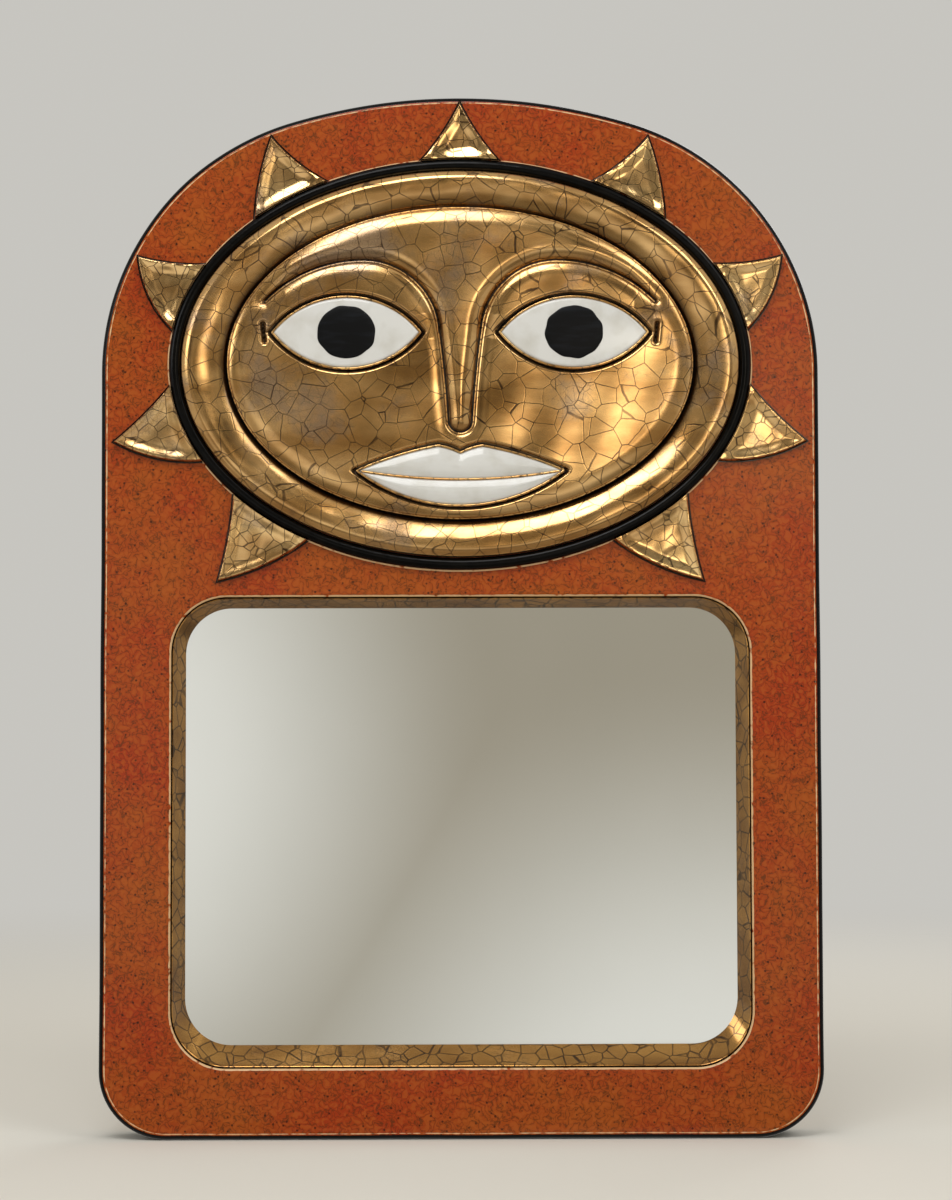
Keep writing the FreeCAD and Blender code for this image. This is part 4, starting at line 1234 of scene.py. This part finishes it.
@dataclass
class SunFace:
    """The raised face: brows, nose, lids and cheeks as soft pillows between pressed grooves."""

    lines: FaceLines = FaceLines()
    half_width: float = 130.4
    half_height: float = 87.9
    columns: int = 340
    rows: int = 284
    back: float = FRONT + 1.5
    rim: float = 19.3
    groove: float = 23.3
    groove_round: float = 0.6
    cheek_rise: float = 2.9
    brow_rise: float = 4.0
    lid_rise: float = 4.7
    soft_shoulder: float = 8.5
    crisp_shoulder: float = 1.9
    crisp_share: float = 0.55
    soft_edge: float = 11.0
    crisp_edge: float = 1.7
    crisp_edge_share: float = 0.62
    # Widths over which the forehead fades at the brow's end, and the lid at its inner and outer end.
    brow_fade: float = 14.0
    lid_fades: tuple[float, float] = (14.0, 12.0)
    lid_margin: float = 3.0
    lid_drop: float = 4.0
    # Widths of the painted shade in the grooves.
    brow_shade: float = 1.1
    inlay_shade: float = 0.7
    edge_shade: float = 0.6
    slit_depth: float = 2.6
    slit_width: float = 1.3
    wave: float = 0.2
    wave_fade: float = 20.0
    inlay_gap: float = 1.3
    line_inset: float = 0.9
    line_sink: float = 0.1
    line_radius: float = 0.55

    def build(self) -> None:
        """Builds the face as a fine grid that fills its oval, its skirt down to the dish, and its lines."""
        across = np.linspace(-1, 1, self.columns)[None, :]
        up = np.linspace(-1, 1, self.rows)[:, None]
        disc_x = across * np.sqrt(1 - up ** 2 / 2) * self.half_width
        disc_up = up * np.sqrt(1 - across ** 2 / 2) * self.half_height
        flat = SUN + np.column_stack((disc_x.ravel(), disc_up.ravel()))
        forward, hollow = self.relief(flat)
        rim = border(self.rows, self.columns)
        skirt = range(len(flat), len(flat) + len(rim))
        points = np.vstack((raised(flat, forward), raised(flat[rim], self.back), ((0.0, self.back, SUN_UP),)))
        faces = net(self.rows, self.columns) + wall(rim, skirt) + fan(skirt, len(points) - 1)
        # The grooves carry painted shade, and the hidden skirt and the middle of the back are shaded all
        # over.
        wear_and_painted_light = np.concatenate((hollow, np.ones(len(rim) + 1)))
        solids = ("face_plate", "brow_and_nose", "eyelid_left", "eyelid_right")
        Piece("sun_face", (Paint.GOLD,), solids).solid(points, faces, wear_and_painted_light, crease=70.0)
        inset = self.line_inset
        edge = ellipse(self.half_width - inset, self.half_height - inset, 300)
        lids = self.lines.lid_edge(inset)
        for name, path, closed in (("lid_line", lids, False), ("face_line", edge, True)):
            line = raised(path, self.relief(path)[0] - self.line_sink)
            Piece(name, (Paint.LINE_GOLD,)).rod(line, closed, self.line_radius)

    def relief(self, flat: np.ndarray) -> tuple[np.ndarray, np.ndarray]:
        """Gives the forward place of every point of the face, and how much painted shade it has in a groove.

        Args:
            flat: Flat points.

        Returns:
            The forward places, and the painted shade, 1 in a groove to 0 outside.
        """
        folded = np.column_stack((np.abs(flat[:, 0]), flat[:, 1]))
        brow = self.lines.half_brow()
        from_brow = self.rounded(distance(folded, brow))
        to_inlay = self.rounded(self.to_inlay(folded))
        to_edge = self.to_edge(flat)
        to_slit = distance(folded, self.lines.eye_slit())
        forehead = self.forehead(folded, brow)
        rise = self.cheek_rise + (self.brow_rise - self.cheek_rise) * forehead
        rise += (self.lid_rise - self.cheek_rise) * self.lid(folded, brow)
        soft = pillow(from_brow, self.soft_shoulder, 2.3)
        crisp = soft + (pillow(from_brow, self.crisp_shoulder, 2.0) - soft) * self.crisp_share
        swell = crisp + (soft - crisp) * forehead
        body = self.groove + rise * swell * pillow(to_inlay, self.crisp_shoulder, 2.0)
        body -= self.slit_depth * bell(to_slit, self.slit_width)
        body += self.wave * pillow(to_edge, self.wave_fade) * waves(flat, length=34.0, seed=8)
        edge = pillow(to_edge, self.soft_edge, 2.0)
        edge += (pillow(to_edge, self.crisp_edge, 2.0) - edge) * self.crisp_edge_share
        # Painted shade in the grooves, the slit beside the eye and round the edge of the face.
        grooves = ((from_brow, self.brow_shade), (to_inlay, self.inlay_shade), (to_slit, self.slit_width),
                   (to_edge, self.edge_shade))
        hollow = np.max([bell(gap, width) for gap, width in grooves], axis=0)
        return self.rim + (body - self.rim) * edge, hollow

    def rounded(self, gap: np.ndarray) -> np.ndarray:
        """Rounds the bottom of a groove."""
        return np.sqrt(gap ** 2 + self.groove_round ** 2) - self.groove_round

    def to_inlay(self, folded: np.ndarray) -> np.ndarray:
        """Measures how far each point is from the eye or the mouth.

        Args:
            folded: Flat points, all on the right half.

        Returns:
            The distances, 0 inside an eye or the mouth.
        """
        gaps = []
        for edges in (self.lines.eye(Side.RIGHT, self.inlay_gap), self.lines.mouth(self.inlay_gap)):
            outline = chain(*edges)
            gaps.append(np.where(inside(folded, outline), 0.0, distance(folded, outline)))
        return np.minimum(*gaps)

    def to_edge(self, flat: np.ndarray) -> np.ndarray:
        """Measures about how far each point is from the edge of the oval.

        Args:
            flat: Flat points.

        Returns:
            The distances, with one large value for all points near the middle.
        """
        across = flat[:, 0] / self.half_width
        up = (flat[:, 1] - SUN_UP) / self.half_height
        share = np.hypot(across, up)
        slope = np.hypot(across / self.half_width, up / self.half_height)
        gap = np.maximum(0.0, (1 - share) * share / np.maximum(slope, 1e-6))
        return np.where(share < 0.5, 1e3, gap)

    def forehead(self, folded: np.ndarray, brow: np.ndarray) -> np.ndarray:
        """Tells which points lie on the forehead or the nose.

        Args:
            folded: Flat points, all on the right half.
            brow: The line under the brow and beside the nose.

        Returns:
            1 inside, fading to 0 towards the end of the brow.
        """
        end_x, end_up = self.lines.brow_end
        # The outline runs past the middle line and above the face, so that its edges cross no point.
        past = -5.0
        high = SUN_UP + 2 * self.half_height
        around = ((past, brow[-1, 1]), (past, high), (end_x, high), (end_x, SUN_UP + end_up))
        fade = np.clip((end_x - folded[:, 0]) / self.brow_fade, 0, 1)
        return inside(folded, np.vstack((brow, around))) * fade

    def lid(self, folded: np.ndarray, brow: np.ndarray) -> np.ndarray:
        """Tells which points lie on the lid.

        Args:
            folded: Flat points, all on the right half.
            brow: The line under the brow and beside the nose.

        Returns:
            1 on the lid, fading to 0 at its two open ends.
        """
        lines = self.lines
        eye_up = SUN_UP + lines.eye_up
        reach = lines.eye_half + self.lid_margin
        upper = brow[brow[:, 1] > eye_up - self.lid_drop]
        inner = np.array((lines.eye_across - reach, eye_up - self.lid_drop))
        outer = np.array((lines.eye_across + reach, eye_up))
        shown = inside(folded, np.vstack((upper, arc(inner, outer, -lines.eye_upper, 60)))).astype(float)
        for brow_end, eye_end, fade in zip(upper[[-1, 0]], (inner, outer), self.lid_fades):
            shown *= np.clip(distance(folded, np.vstack((brow_end, eye_end))) / fade, 0, 1)
        return shown


@dataclass
class Eyes:
    """The glazed whites, the painted pupils and the thin gold line round each eye."""

    lines: FaceLines = FaceLines()
    base: float = 23.3
    edge: float = 25.6
    crown: float = 27.1
    dome_fall: float = 0.75
    dome_power: float = 0.8
    roll: float = 0.9
    roll_width: float = 1.4
    pupil_half_width: float = 16.2
    pupil_half_height: float = 14.8
    # The pupil's section, as shares of its size and heights over the white.
    pupil_rings: tuple[tuple[float, float], ...] = (
        (1.0, -0.5), (1.0, 0.12), (0.985, 0.3), (0.95, 0.38), (0.8, 0.4), (0.6, 0.4), (0.4, 0.4), (0.2, 0.4))
    pupil_middle: float = 0.4
    pupil_sink: float = 0.6
    # Waves round the pupil's edge, the range of their size as shares of its own, the largest
    # start of a wave, and the seed.
    pupil_waves: tuple[int, ...] = (3, 5, 8, 11)
    pupil_sway: tuple[float, float] = (0.004, 0.011)
    pupil_phase: float = 6.28
    pupil_seed: int = 31
    line_gap: float = 0.45
    line_rise: float = 0.15
    line_radius: float = 0.65

    def build(self) -> None:
        """Builds both eyes."""
        for side in Side:
            self.build_white(side)
            self.build_pupil(side)
            outline = chain(*self.lines.eye(side, self.line_gap))
            line = Piece(f"eye_line_{side.word}", (Paint.LINE_GOLD,))
            line.rod(raised(outline, self.edge + self.line_rise), True, self.line_radius)

    def dome(self, flat: np.ndarray, side: Side) -> np.ndarray:
        """Gives the forward place of points on the white.

        Args:
            flat: Flat points.
            side: Which eye.

        Returns:
            The forward places.
        """
        across = (flat[:, 0] - side.value * self.lines.eye_across) / self.lines.eye_half
        up = (flat[:, 1] - SUN_UP - self.lines.eye_up) / self.lines.eye_upper
        fall = np.clip((across ** 2 + up ** 2) * self.dome_fall, 0, 1)
        return self.edge + (self.crown - self.edge) * (1 - fall) ** self.dome_power

    def build_white(self, side: Side) -> None:
        """Builds the white of one eye as a low dome with a rolled edge.

        Args:
            side: Which eye.
        """
        lower, upper = self.lines.eye(side, 0.0)
        flat = between(lower, upper[::-1], 41)
        to_edge = distance(flat, chain(lower, upper))
        forward = self.dome(flat, side) - self.roll * (1 - pillow(to_edge, self.roll_width))
        piece = Piece(f"eye_white_{side.word}", (Paint.WHITE,), (f"eye_{side.word}",))
        piece.sheet(flat, len(lower), forward, self.base)

    def build_pupil(self, side: Side) -> None:
        """Builds one pupil as a thin painted disc with an uneven edge.

        Args:
            side: Which eye.
        """
        count = 96
        angles = round_angles(count)
        source = np.random.default_rng(self.pupil_seed + side.value)
        uneven = np.ones(count)
        for wave in self.pupil_waves:
            uneven += source.uniform(*self.pupil_sway) * np.sin(
                wave * angles + source.uniform(0, self.pupil_phase))
        middle = SUN + np.array((side.value * self.lines.eye_across, self.lines.eye_up))
        edge = np.column_stack((self.pupil_half_width * np.cos(angles) * uneven,
                                self.pupil_half_height * np.sin(angles) * uneven))
        rings = []
        for share, height in self.pupil_rings:
            flat = middle + edge * share
            rings.append(raised(flat, self.dome(flat, side) + height))
        for height in (self.pupil_middle, -self.pupil_sink):
            rings.append(raised(middle[None], self.dome(middle[None], side) + height))
        last = len(self.pupil_rings) * count
        faces = net(len(self.pupil_rings), count, close_columns=True)
        faces += fan(range(last - count, last), last) + fan(range(count), last + 1)
        piece = Piece(f"painted_pupil_{side.word}", (Paint.PUPIL,), (f"pupil_{side.word}",))
        piece.solid(np.vstack(rings), faces)


@dataclass
class Lips:
    """The two glazed lips and the gold lines round and between them."""

    lines: FaceLines = FaceLines()
    base: float = 23.3
    edge: float = 25.4
    swell: float = 2.2
    swell_width: float = 8.5
    roll: float = 0.5
    roll_width: float = 0.9
    line_gap: float = 0.4
    line_rise: float = 0.35
    line_radius: float = 0.65
    columns: int = 140
    rows: int = 25

    def build(self) -> None:
        """Builds both lips, each a swelling strip between two lines, and the gold lines."""
        parting = self.lines.parting()
        lower, upper = self.lines.mouth(0.0)
        for word, low, high in (("upper", parting, upper[::-1]), ("lower", lower, parting)):
            low = self.even(low)
            high = self.even(high)
            flat = between(low, high, self.rows)
            to_edge = distance(flat, np.vstack((low, high[::-1], low[:1])))
            forward = self.edge - self.roll * (1 - pillow(to_edge, self.roll_width))
            forward += pillow(to_edge, self.swell_width, 2.0) * self.swell
            piece = Piece(f"lip_white_{word}", (Paint.WHITE,), (f"lip_{word}",))
            piece.sheet(flat, self.columns, forward, self.base)
        outline = chain(*self.lines.mouth(self.line_gap))
        for name, path, closed in (("mouth_line", outline, True), ("parting_line", parting[2:-2], False)):
            line = raised(path, self.edge + self.line_rise)
            Piece(name, (Paint.LINE_GOLD,)).rod(line, closed, self.line_radius)

    def even(self, path: np.ndarray) -> np.ndarray:
        """Spreads points evenly from side to side along a line."""
        across = np.linspace(path[0, 0], path[-1, 0], self.columns)
        return np.column_stack((across, np.interp(across, path[:, 0], path[:, 1])))


@dataclass(frozen=True)
class RayShape:
    """One kind of ray: degrees on the bead's ellipse, reach of the tip, and the swell of its two sides."""

    start: float
    end: float
    tip: float
    reach: float
    start_swell: float
    end_swell: float


@dataclass
class Rays:
    """The nine gold rays round the sun: a low outline with painted shade, a raised rim and a shallow hollow
    in each.
    """

    half_width: float = 163.3
    half_height: float = 116.0
    outline: float = 0.6
    rim: float = 3.6
    hollow: float = 1.1
    lip: float = 1.3
    lip_width: float = 4.0
    wave: float = 0.22
    highest: float = 5.0
    # How far in from the sides each form starts and is complete.
    rim_slope: tuple[float, float] = (0.6, 1.7)
    hollow_slope: tuple[float, float] = (1.8, 8.0)
    lip_slope: tuple[float, float] = (0.6, 2.0)
    wave_slope: tuple[float, float] = (1.0, 6.0)
    side_shade_slope: tuple[float, float] = (0.6, 1.1)
    base: float = FRONT - 0.5
    rows: int = 60
    columns: int = 56
    top: RayShape = RayShape(81.8, 98.2, 90, 34.0, -1.6, -1.6)
    pairs: dict[str, RayShape] = field(default_factory=lambda: {
        "upper": RayShape(44.7, 63.3, 58.1, 37.5, 2, -2.2),
        "temple": RayShape(9, 29.6, 24.2, 35.5, 4.5, -1.6),
        "cheek": RayShape(-28.4, -5.4, -16.2, 40.0, 4.2, -1.2),
        "chin": RayShape(-58.8, -38.6, -49.2, 46.0, 3.2, -1.4),
    })

    def build(self) -> None:
        """Builds every ray."""
        self.build_ray("ray_top", self.top, Side.RIGHT)
        for kind, shape in self.pairs.items():
            for side in Side:
                self.build_ray(f"ray_{kind}_{side.word}", shape, side)

    def on_bead(self, degrees: Any, reach: float = 0.0) -> np.ndarray:
        """Gives points outside the bead, from the middle of the sun."""
        angles = np.radians(degrees)
        return np.stack(((self.half_width + reach) * np.cos(angles),
                         (self.half_height + reach) * np.sin(angles)), axis=-1)

    def build_ray(self, node: str, shape: RayShape, side: Side) -> None:
        """Builds one ray as a pillow that rises again where it meets the bead.

        Args:
            node: The solid that it stands for.
            shape: Its measures.
            side: Which side it is on.
        """
        tip = self.on_bead(shape.tip, shape.reach)
        first = arc(self.on_bead(shape.start), tip, shape.start_swell, self.rows)
        second = arc(tip, self.on_bead(shape.end), shape.end_swell, self.rows)[::-1]
        share = (1 - np.cos(np.linspace(0, math.pi, self.columns)))[:, None] / 2
        base = self.on_bead(shape.start + (shape.end - shape.start) * share[:, 0])
        sag = base - base[0] - (base[-1] - base[0]) * share
        sheet = []
        for row, along in enumerate(np.linspace(0, 1, self.rows)):
            sheet.append(first[row] + (second[row] - first[row]) * share + sag * (1 - along) ** 2)
        flat = np.vstack(sheet)
        to_side = distance(flat, np.vstack((first, second[::-1])))
        to_base = distance(flat, base)
        height = self.outline + self.rim * ease(to_side, *self.rim_slope)
        height -= self.hollow * ease(to_side, *self.hollow_slope)
        height += self.lip * bell(to_base, self.lip_width) * ease(to_side, *self.lip_slope)
        flat = SUN + flat * np.array((side.value, 1.0))
        height += self.wave * waves(flat, length=14.0, seed=17) * ease(to_side, *self.wave_slope)
        forward = FRONT + np.minimum(height, self.highest)
        piece = Piece(f"gold_{node}", (Paint.RAY_GOLD,), (node,))
        # The low outline along the sides carries painted shade.
        piece.sheet(flat, self.columns, forward, self.base, 1 - ease(to_side, *self.side_shade_slope))


@dataclass
class Screws:
    """The round-headed, slotted wood screws of the buttons or of the hangers."""

    name: str
    node: str
    paint: Paint
    head_radius: float = 3.45
    head_height: float = 1.75
    side_height: float = 0.85
    slot: float = 0.9
    shank_radius: float = 1.7
    shank_length: float = 11.0
    seed: int = 5

    def build(self, places: Sequence[tuple[float, float, float]]) -> None:
        """Sets a screw at every place.

        Args:
            places: Where the heads begin, as rows of (across, forward, up).
        """
        rise = self.head_height - self.side_height
        dome_radius = (self.head_radius ** 2 + rise ** 2) / (2 * rise)
        piece = Piece(self.name, (self.paint,), (self.node,))
        piece.bake(screw_tree(), np.array(places), closed=False, crease=32.0, sizes={
            "Head Radius": self.head_radius * MM, "Dome Radius": dome_radius * MM,
            "Head Height": self.head_height * MM, "Slot": self.slot * MM,
            "Shank Radius": self.shank_radius * MM, "Shank Length": self.shank_length * MM,
            "Seed": self.seed})


@dataclass
class TurnButtons:
    """The four stamped brass buttons that hold the cover, each on its own pivot, and their screws."""

    across: float = 180.0
    heights: dict[str, float] = field(default_factory=lambda: {"lower": 110.05, "upper": 235.05})
    front: float = -11.15
    thickness: float = 2.0
    half_width: float = 5.5
    tail: float = 8.0
    length: float = 30.0
    hole: float = 1.83
    chamfer: float = 1.15
    bevel: float = 0.45
    # How many bevels in from the edge the flat of the back begins.
    bevel_foot: float = 2.4
    edge_step: float = 0.12
    hole_sink: float = 0.25
    screw_front: float = -13.3
    count: int = 72

    def outline(self, inset: float) -> np.ndarray:
        """Samples the round-ended outline of a button about its pivot, moved inwards.

        Args:
            inset: How far inwards.

        Returns:
            Flat points of a button on the right side, from the tail round.
        """
        angles = round_angles(self.count)
        tail_end = self.tail - self.half_width
        nose_end = self.length - self.tail - self.half_width
        along = np.where(np.cos(angles) >= 0, tail_end, -nose_end)
        radius = self.half_width - inset
        return np.column_stack((along + radius * np.cos(angles), radius * np.sin(angles)))

    def build(self) -> None:
        """Builds every button as a closed band of rings round its hole, and the screws."""
        back = self.front - self.thickness
        angles = round_angles(self.count)
        hole = self.hole * np.column_stack((np.cos(angles), np.sin(angles)))
        whole = self.outline(0.0)
        small = self.outline(self.bevel)
        rings = ((hole, self.front), (small, self.front), (whole, self.front - self.bevel),
                 (whole, back + self.bevel), (small, back + self.edge_step),
                 (self.outline(self.bevel_foot * self.bevel), back), (hole * self.chamfer, back),
                 (hole, back + self.hole_sink))
        faces = net(len(rings), self.count, close_rows=True, close_columns=True)
        places = []
        for row, up in self.heights.items():
            for side in Side:
                pivot = np.array((self.across, up))
                outwards = np.array((side.value, 1.0))
                points = np.vstack([raised((flat + pivot) * outwards, forward) for flat, forward in rings])
                label = f"turn_button_{row}_{side.word}"
                Piece(f"brass_{label}", (Paint.BRASS,), (label,), label).solid(points, faces, crease=35.0)
                places.append((side.value * self.across, self.screw_front, up))
        Screws("brass_button_screws", "turn_button_screws", Paint.BRASS).build(places)


@dataclass
class Hangers:
    """The two hangers, each a steel strap rolled round the wire of a D-shaped ring, and their screws."""

    across: float = 105.0
    axis_up: float = 480.0
    axis_forward: float = -13.6
    strap_half: float = 7.0
    strap_drop: float = 15.5
    strap_thickness: float = 1.2
    strap_soft: float = 0.25
    eye_radius: float = 2.0
    eye_turn: float = 280.0
    wire_radius: float = 1.25
    ring_half: float = 10.0
    ring_corner: float = 2.4
    ring_drop: float = 16.0
    screw_drop: float = 9.2

    def build(self) -> None:
        """Builds both straps, both rings and the screws."""
        places = []
        for side in Side:
            self.build_strap(side)
            label = f"hanger_ring_{side.word}"
            ring = Piece(f"steel_ring_{side.word}", (Paint.STEEL,), (label,), label)
            path = self.ring_path(side)
            ring.rod(path, True, self.wire_radius, spacing=0.7, sides=20, wobble=0.0, wave=5.0)
            forward = PANEL_BACK - self.strap_thickness
            places.append((side.value * self.across, forward, self.axis_up - self.screw_drop))
        Screws("steel_hanger_screws", "hanger_screws", Paint.STEEL).build(places)

    def ring_path(self, side: Side) -> np.ndarray:
        """Samples the middle of a ring's wire.

        Args:
            side: Which ring.

        Returns:
            Rows of (across, forward, up).
        """
        half = self.ring_half
        flat_end = (half - self.ring_corner, 0.0)
        flank = (half, -self.ring_corner)
        low = (half, -self.ring_drop)
        right = chain(
            arc((0.0, 0.0), flat_end, 0, 8),
            arc(flat_end, flank, -QUARTER_RISE * self.ring_corner, 10),
            arc(flank, low, 0, 16),
            arc(low, (0.0, -self.ring_drop - half), -QUARTER_RISE * half, 24),
        )
        middle = np.array((side.value * self.across, self.axis_up))
        return raised(both_halves(right)[:-1] + middle, self.axis_forward)

    def build_strap(self, side: Side) -> None:
        """Builds one strap from its side view: up the panel and round the wire.

        Args:
            side: Which strap.
        """
        axis = (self.axis_forward, self.axis_up)
        plate_forward = self.axis_forward + self.eye_radius
        plate = arc((plate_forward, self.axis_up - self.strap_drop), (plate_forward, self.axis_up), 0, 16)
        middle = chain(plate, circle(axis, self.eye_radius, 0, math.radians(self.eye_turn), 36))
        outward = leftward(middle)
        wide = self.strap_half
        thick = self.strap_thickness / 2
        soft = self.strap_soft
        section = ((soft - wide, -thick), (wide - soft, -thick), (wide, soft - thick), (wide, thick - soft),
                   (wide - soft, thick), (soft - wide, thick), (-wide, thick - soft), (-wide, soft - thick))
        count = len(middle)
        rows = []
        for shift, offset in section:
            place = np.full(count, side.value * self.across + shift)
            rows.append(np.column_stack((place, middle + outward * offset)))
        faces = net(len(section), count, close_rows=True)
        for end in (0, count - 1):
            faces.append(tuple(row * count + end for row in range(len(section))))
        piece = Piece(f"steel_strap_{side.word}", (Paint.STEEL,), (f"hanger_strap_{side.word}",))
        piece.solid(np.vstack(rows), faces, crease=40.0)


@dataclass
class BackBoard:
    """The glass and the sheets behind it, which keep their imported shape."""

    sheets: dict[str, Paint] = field(default_factory=lambda: {
        "mirror_glass": Paint.MIRROR, "carrier_panel": Paint.PLYWOOD, "mirror_cover": Paint.HARDBOARD,
        "packing_card": Paint.CARD})

    def build(self) -> None:
        """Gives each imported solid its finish."""
        for node, paint in self.sheets.items():
            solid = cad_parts[node]
            solid.data.materials.clear()
            solid.data.materials.append(paint.material)
            LOG.info("%s: %s", node, paint.value.name)


@dataclass
class Studio:
    """The camera, the soft lights, the pale floor and the cards that the gold and the mirror reflect.

    Places and sizes are in metres, as Blender has them.
    """

    eye: tuple[float, float, float] = (-0.0029, -1.5001, 0.2228)
    pitch: float = 2.914
    yaw: float = 0.441
    roll: float = -0.149
    lens: float = 79.9
    aim: tuple[float, float, float] = (0, 0, 0.35)
    floor_half: float = 6.0
    card_back: float = -1.58

    def build(self) -> None:
        """Builds the studio."""
        self.build_camera()
        self.build_world()
        self.build_floor()
        self.build_lights()
        self.build_cards()

    def build_camera(self) -> None:
        """Sets the camera at the photograph's angle."""
        data = bpy.data.cameras.new("camera")
        data.lens = self.lens
        data.sensor_width = 36.0
        data.clip_end = 50.0
        camera = bpy.data.objects.new("camera", data)
        camera.location = self.eye
        turn = Matrix.Rotation(math.radians(-self.yaw), 3, "Z")
        tilt = Matrix.Rotation(math.radians(90 + self.pitch), 3, "X")
        lean = Matrix.Rotation(math.radians(self.roll), 3, "Z")
        camera.rotation_euler = (turn @ tilt @ lean).to_euler()
        bpy.context.scene.collection.objects.link(camera)
        bpy.context.scene.camera = camera

    def build_world(self) -> None:
        """Lights the scene with a pale even sky."""
        world = bpy.data.worlds.new("pale_sky")
        world.use_nodes = True
        world.node_tree.nodes.clear()
        tree = world.node_tree
        sky = add_node(tree, "ShaderNodeBackground", {"Color": linear("#D6D4CE"), "Strength": 0.85})
        add_node(tree, "ShaderNodeOutputWorld", {"Surface": sky})
        bpy.context.scene.world = world

    def add_sheet(self, name: str, corners: Sequence[tuple[float, float, float]], material: Material,
                  unseen_by: Sequence[str]) -> None:
        """Adds a flat sheet to the scene.

        Args:
            name: The sheet's name.
            corners: Its four corners, in order.
            material: Its finish.
            unseen_by: The kinds of ray that pass through it.
        """
        mesh = bpy.data.meshes.new(name)
        mesh.from_pydata(corners, [], [(0, 1, 2, 3)])
        mesh.materials.append(material)
        sheet = bpy.data.objects.new(name, mesh)
        for ray in unseen_by:
            setattr(sheet, "visible_" + ray, False)
        bpy.context.scene.collection.objects.link(sheet)

    def build_floor(self) -> None:
        """Lays the pale floor, which fades into the sky away from the object."""
        material, tree, place = start_material("matt_pale_floor")
        fade = spot(tree, place, (0.0, 0.0, 0.0), (0.5, 2.2), (0.0, 1.0))
        paper = add_node(tree, "ShaderNodeBsdfDiffuse", {"Color": linear("#DAD6CD")})
        clear = add_node(tree, "ShaderNodeBsdfTransparent")
        finish_material(tree, {0: fade, 1: paper, 2: clear}, "MixShader")
        half = self.floor_half
        corners = [(-half, -half, 0), (half, -half, 0), (half, half, 0), (-half, half, 0)]
        self.add_sheet("floor", corners, material, ("glossy",))

    def build_lights(self) -> None:
        """Hangs a large soft key light at the upper right and smaller ones at the left, behind and above."""
        for name, place, size, power in (("key", (1.3, -1.5, 1.7), 1.1, 12.0),
                                         ("left", (-1.4, -0.9, 0.9), 0.6, 3.5),
                                         ("back", (0.7, 1.6, 1.3), 0.9, 7.0),
                                         ("top", (-0.25, -1.1, 1.5), 0.7, 9.0)):
            data = bpy.data.lights.new(name, "AREA")
            data.size = size
            data.energy = power
            lamp = bpy.data.objects.new(name, data)
            lamp.location = place
            aim = Vector(self.aim) - Vector(place)
            lamp.rotation_euler = aim.to_track_quat("-Z", "Y").to_euler()
            bpy.context.scene.collection.objects.link(lamp)

    def build_cards(self) -> None:
        """Stands a soft grey card behind the camera and lays a stone-coloured strip on the floor in front."""
        grey, tree, place = start_material("soft_grey_card")
        back = self.card_back
        # The mirror shows two pale patches. Above what it shows, a bright field lights the right cheek of
        # the face, and a weaker one the left.
        shapes = (((-0.5, back, 0.2), (0.16, 0.56), (1.0, 0.0)),
                  ((0.3, back, -0.3), (0.14, 0.62), (1.0, 0.0)),
                  ((0.3, back, 0.54), (0.04, 0.38), (8.0, 0.55)),
                  ((-0.24, back, 0.62), (0.04, 0.26), (2.4, 0.55)))
        spots = [spot(tree, place, *shape) for shape in shapes]
        pale = add_node(tree, MATH, {0: spots[0], 1: spots[1]}, operation="MAXIMUM")
        fields = add_node(tree, MATH, {0: spots[2], 1: spots[3]}, operation="MAXIMUM")
        clouds = add_node(tree, NOISE, {"Vector": place, "Scale": 3.4, "Detail": 2.0})
        cloud_light = add_node(tree, RANGE, {
            "Value": clouds, "From Min": 0.38, "From Max": 0.62, "To Min": 0.3, "To Max": 1.6}, **SMOOTH)
        field_light = add_node(tree, MATH, {0: fields, 1: cloud_light}, operation="MULTIPLY")
        height = add_node(tree, "ShaderNodeSeparateXYZ", {0: place}, "Z")
        above = add_node(tree, RANGE, {"Value": height, "From Min": 0.4, "From Max": 0.62}, **SMOOTH)
        below = add_node(tree, RANGE, {
            "Value": height, "From Min": -0.16, "From Max": -0.4, "To Min": 1.0, "To Max": 0.5}, **SMOOTH)
        power = add_node(tree, "ShaderNodeMix", {0: above, 2: below, 3: field_light}, data_type="FLOAT")
        tone = layered(tree, "#A79F90", ((pale, "#ECEAE5"),))
        finish_material(tree, {"Color": tone, "Strength": power}, "Emission")
        stone, stone_tree, _ = start_material("matt_stone_strip")
        finish_material(stone_tree, {"Base Color": linear("#94897A"), "Roughness": 0.8})
        for name, material, half, (near, low), (far, high) in (
                ("grey_card", grey, 1.6, (back, -1.4), (back, 2.2)),
                ("stone_strip", stone, 1.2, (-0.41, 0.003), (-0.04, 0.003))):
            corners = [(-half, near, low), (half, near, low), (half, far, high), (-half, far, high)]
            self.add_sheet(name, corners, material, ("camera", "diffuse", "shadow"))


def main() -> None:
    """Builds every sub-assembly in order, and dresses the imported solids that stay."""
    logging.basicConfig(level=logging.INFO, format="%(name)s %(message)s")
    bpy.context.scene.view_settings.view_transform = "Standard"
    ceramic = CeramicFrame()
    for assembly in (Studio(), ceramic, WindowLiner(ceramic), SunDish(), BlackBead(), SunFace(), Eyes(),
                     Lips(), Rays(), BackBoard(), TurnButtons(), Hangers()):
        assembly.build()
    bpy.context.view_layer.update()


if __name__ == "__main__":
    main()
